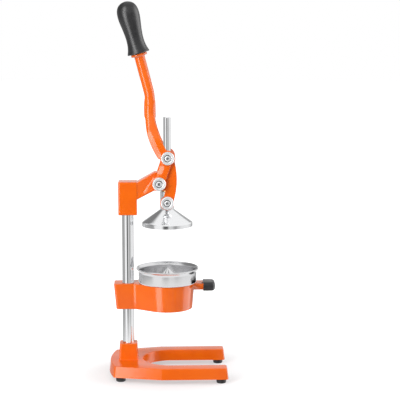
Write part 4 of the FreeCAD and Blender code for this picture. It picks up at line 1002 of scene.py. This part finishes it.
class PRESS_OT_grip(bpy.types.Operator):
    """Turn the pear-shaped grip with its flared lip."""
    bl_idname = "press.grip"
    bl_label = "Grip"

    def execute(self, context):
        sizes = context.scene.press_sizes
        profile = [(6.5, 0), (17.0, 0), (20.4, 0.1), (20.7, 1.7), (19.4, 4.6), (17.6, 10.2),
                   (16.3, 17), (15.75, 24), (15.8, 31), (16.8, 42), (18.6, 54), (20.1, 64),
                   (20.5, 72), (20.0, 80), (17.9, 87), (13.6, 92.6), (7.5, 95.9), (2.5, 96.9),
                   (0, 97), (0, 72), (6.5, 72)]
        mesh = lathe(profile, steps=48)
        rotate(mesh, -sizes.lever_lean, "Y")
        move(mesh, sizes.grip_seat)
        add_piece("grip_sleeve", mesh, "grip_rubber", "lever", "grip",
                  crease=180, smooth=2)
        return {"FINISHED"}


class PRESS_OT_cap(bpy.types.Operator):
    """Mould the rubber cap on the cup holder's tongue."""
    bl_idname = "press.cap"
    bl_label = "Bumper Cap"

    def execute(self, context):
        low, high = extent("bumper_cap")
        mesh = block((high - low) * MM)
        move(mesh, (high + low) / 2 * MM)
        mouth = min(mesh.faces, key=lambda face: face.calc_center_median().x)
        bmesh.ops.inset_region(mesh, faces=[mouth], thickness=2.7 * MM, use_even_offset=True)
        pushed = bmesh.ops.extrude_face_region(mesh, geom=[mouth])
        inner = [item for item in pushed["geom"] if isinstance(item, bmesh.types.BMVert)]
        bmesh.ops.translate(mesh, vec=(17.0 * MM, 0, 0), verts=inner)
        bmesh.ops.delete(mesh, geom=[mouth], context="FACES")
        nose = [edge for edge in mesh.edges
                if upright(edge) and edge_middle(edge).x > high.x * MM - MM]
        round_edges(mesh, nose, 8.5 * MM, 6)
        rims = [edge for edge in mesh.edges if edge_middle(edge).x > (low.x + 0.5) * MM
                and outer_level(edge, low, high)]
        round_edges(mesh, rims, 6.0 * MM, 4, clamp_overlap=True)
        bmesh.ops.recalc_face_normals(mesh, faces=mesh.faces)
        add_piece("cap_moulding", mesh, "cap_rubber", "frame", "bumper_cap",
                  crease=50)
        return {"FINISHED"}


def round_edges(mesh, edges, width, steps, clamp_overlap=False):
    """Rounds edges to a width in metres."""
    bmesh.ops.bevel(mesh, geom=edges, offset=width, offset_type="OFFSET", segments=steps,
                    profile=0.5, affect="EDGES", material=-1, clamp_overlap=clamp_overlap)


def edge_middle(edge):
    """Middle of an edge."""
    return (edge.verts[0].co + edge.verts[1].co) / 2


def upright(edge):
    """Whether an edge stands straight up."""
    run = edge.verts[1].co - edge.verts[0].co
    return abs(run.z) > 0.9 * run.length


def outer_level(edge, low, high):
    """Whether an edge lies in the top or the underside of a box."""
    levels = [vert.co.z / MM for vert in edge.verts]
    return any(all(abs(level - end) < 0.01 for level in levels) for end in (low.z, high.z))


# Stage

class PRESS_OT_stage(bpy.types.Operator):
    """Set the floor, the lamps, the white room and the camera."""
    bl_idname = "press.stage"
    bl_label = "Stage"

    def execute(self, context):
        scene = context.scene
        scene.view_settings.view_transform = "Standard"
        add_floor()
        add_room(scene.press_stage.sky)
        stage = scene.press_stage
        key = add_lamp("key_panel", (-1.385, -1.71, 1.0), 1.0, (1.0, 4.2), stage.key_power)
        fill = add_lamp("front_fill", (0.35, -2.6, 1.9), 0.30, (2.2, 1.6), stage.fill_power)
        side = add_lamp("side_panel", (1.97, 0.30, 0.35), 0.30, (1.8, 3.4), stage.rim_power)
        fill.visible_glossy = False
        spared = spared_pieces()
        for holder in (key, fill, side):
            holder.light_linking.receiver_collection = spared
        add_camera(stage)
        return {"FINISHED"}


def add_floor():
    """Pale floor that shows white to the camera and keeps the press's soft shadow."""
    mesh = bmesh.new()
    bmesh.ops.create_circle(mesh, cap_ends=True, segments=64, radius=9.0)
    floor = put("floor", kept_mesh("floor", mesh))
    floor.visible_glossy = False
    material, make = new_material("floor_white")
    place = make.place()
    grain = make.noise(place, 60 * MM, 2.0)
    shade = make.blend(grain * 0.4, (0.46, 0.46, 0.465, 1), (0.44, 0.44, 0.445, 1))
    lit = make.node("ShaderNodeBsdfDiffuse", values={"Color": shade})
    seen = make.node("ShaderNodeLightPath", output="Is Camera Ray")
    whiteness = make.length(place).ramp(0.08, 0.36) * 0.49 + 0.48
    glow = make.node("ShaderNodeEmission", values={"Color": seen * whiteness, "Strength": 1.0})
    both = make.node("ShaderNodeAddShader", values={0: lit, 1: glow})
    make.node("ShaderNodeOutputMaterial", values={"Surface": both})
    floor.data.materials.append(material)


def add_room(sky):
    """White room; polished metal sees its darker panels as upright bands."""
    world = bpy.data.worlds.new("studio")
    bpy.context.scene.world = world
    make = Finish(world)
    ray = make.node("ShaderNodeTexCoord", output="Generated")
    east, north, height = (make.node("ShaderNodeSeparateXYZ", values={0: ray}, output=axis)
                           for axis in "XYZ")
    bearing = make.node("ShaderNodeMath", {"operation": "ARCTAN2"}, {0: east, 1: north * -1})
    turn = bearing / FULL_TURN + 0.5
    level = make.node("ShaderNodeValToRGB", {"stops": LEVEL_BANDS}, {0: turn})
    raised = make.node("ShaderNodeValToRGB", {"stops": RAISED_BANDS}, {0: turn})
    bands = make.blend(height.ramp(*RAISED_FROM), level, raised)
    panels = make.blend(height.ramp(*CEILING_FROM), bands, WHITE)
    panels = make.blend(1 - height.ramp(*GROUND_TO), panels, WHITE)
    glossy = make.node("ShaderNodeLightPath", output="Is Glossy Ray")
    seen = make.node("ShaderNodeLightPath", output="Is Camera Ray")
    tone = make.blend(glossy, (sky, sky, sky, 1), panels)
    tone = make.blend(seen, tone, WHITE)
    shader = make.node("ShaderNodeBackground", values={"Color": tone, "Strength": 1.0})
    make.node("ShaderNodeOutputWorld", values={"Surface": shader})


def spared_pieces():
    """Collection that keeps the lamps off the bright metal, which mirrors the room alone."""
    spared = bpy.data.collections.new("room_mirrors")
    for piece in bpy.context.scene.objects:
        material = piece.active_material
        if piece.type == "MESH" and material and material.name in ROOM_MIRRORS:
            spared.objects.link(piece)
    for entry in spared.collection_objects:
        entry.light_linking.link_state = "EXCLUDE"
    return spared


def add_lamp(name, place, aim_level, size, power):
    """Soft rectangular lamp that faces the press axis at a level."""
    lamp = bpy.data.lights.new(name, "AREA")
    lamp.shape = "RECTANGLE"
    lamp.size, lamp.size_y = size
    lamp.energy = power
    holder = put(name, lamp)
    holder.location = place
    line = Vector((0, 0, aim_level)) - Vector(place)
    holder.rotation_euler = line.to_track_quat("-Z", "Y").to_euler()
    return holder


def add_camera(stage):
    """Camera at the height and angle that the press is seen from."""
    camera = bpy.data.cameras.new("camera")
    camera.lens = stage.lens
    camera.sensor_width = 36
    camera.clip_end = 50
    holder = put("camera", camera)
    holder.location = stage.stand
    level = math.cos(stage.pitch)
    line = Vector((math.sin(stage.yaw) * level, math.cos(stage.yaw) * level,
                   -math.sin(stage.pitch)))
    holder.rotation_euler = line.to_track_quat("-Z", "Y").to_euler()
    bpy.context.scene.camera = holder


class PRESS_PT_panel(bpy.types.Panel):
    """Sidebar panel with the sizes, the colours and the pieces."""
    bl_label = "Citrus Press"
    bl_idname = "PRESS_PT_panel"
    bl_space_type = "VIEW_3D"
    bl_region_type = "UI"
    bl_category = "Press"

    def draw(self, context):
        scene = context.scene
        for group in (scene.press_sizes, scene.press_colours, scene.press_stage):
            box = self.layout.box()
            for name in group.__annotations__:
                box.prop(group, name)
        for operator in OPERATORS:
            self.layout.operator(operator.bl_idname)


OPERATORS = (PRESS_OT_castings, PRESS_OT_column, PRESS_OT_feet, PRESS_OT_cup, PRESS_OT_reamer,
             PRESS_OT_plunger, PRESS_OT_guide, PRESS_OT_pivots, PRESS_OT_set_screws, PRESS_OT_grip,
             PRESS_OT_cap, PRESS_OT_stage)
GROUPS = {"press_sizes": PressSizes, "press_colours": PressColours, "press_stage": PressStage}


def register():
    """Register the properties, the operators and the panel."""
    for name, group in GROUPS.items():
        bpy.utils.register_class(group)
        setattr(bpy.types.Scene, name, PointerProperty(type=group))
    for item in (*OPERATORS, PRESS_PT_panel):
        bpy.utils.register_class(item)


def unregister():
    """Remove what register added."""
    for item in (PRESS_PT_panel, *reversed(OPERATORS)):
        bpy.utils.unregister_class(item)
    for name, group in GROUPS.items():
        delattr(bpy.types.Scene, name)
        bpy.utils.unregister_class(group)


def main():
    """Make the whole press."""
    register()
    for operator in OPERATORS:
        getattr(bpy.ops.press, operator.bl_idname.removeprefix("press."))()


if __name__ == "__main__":
    main()
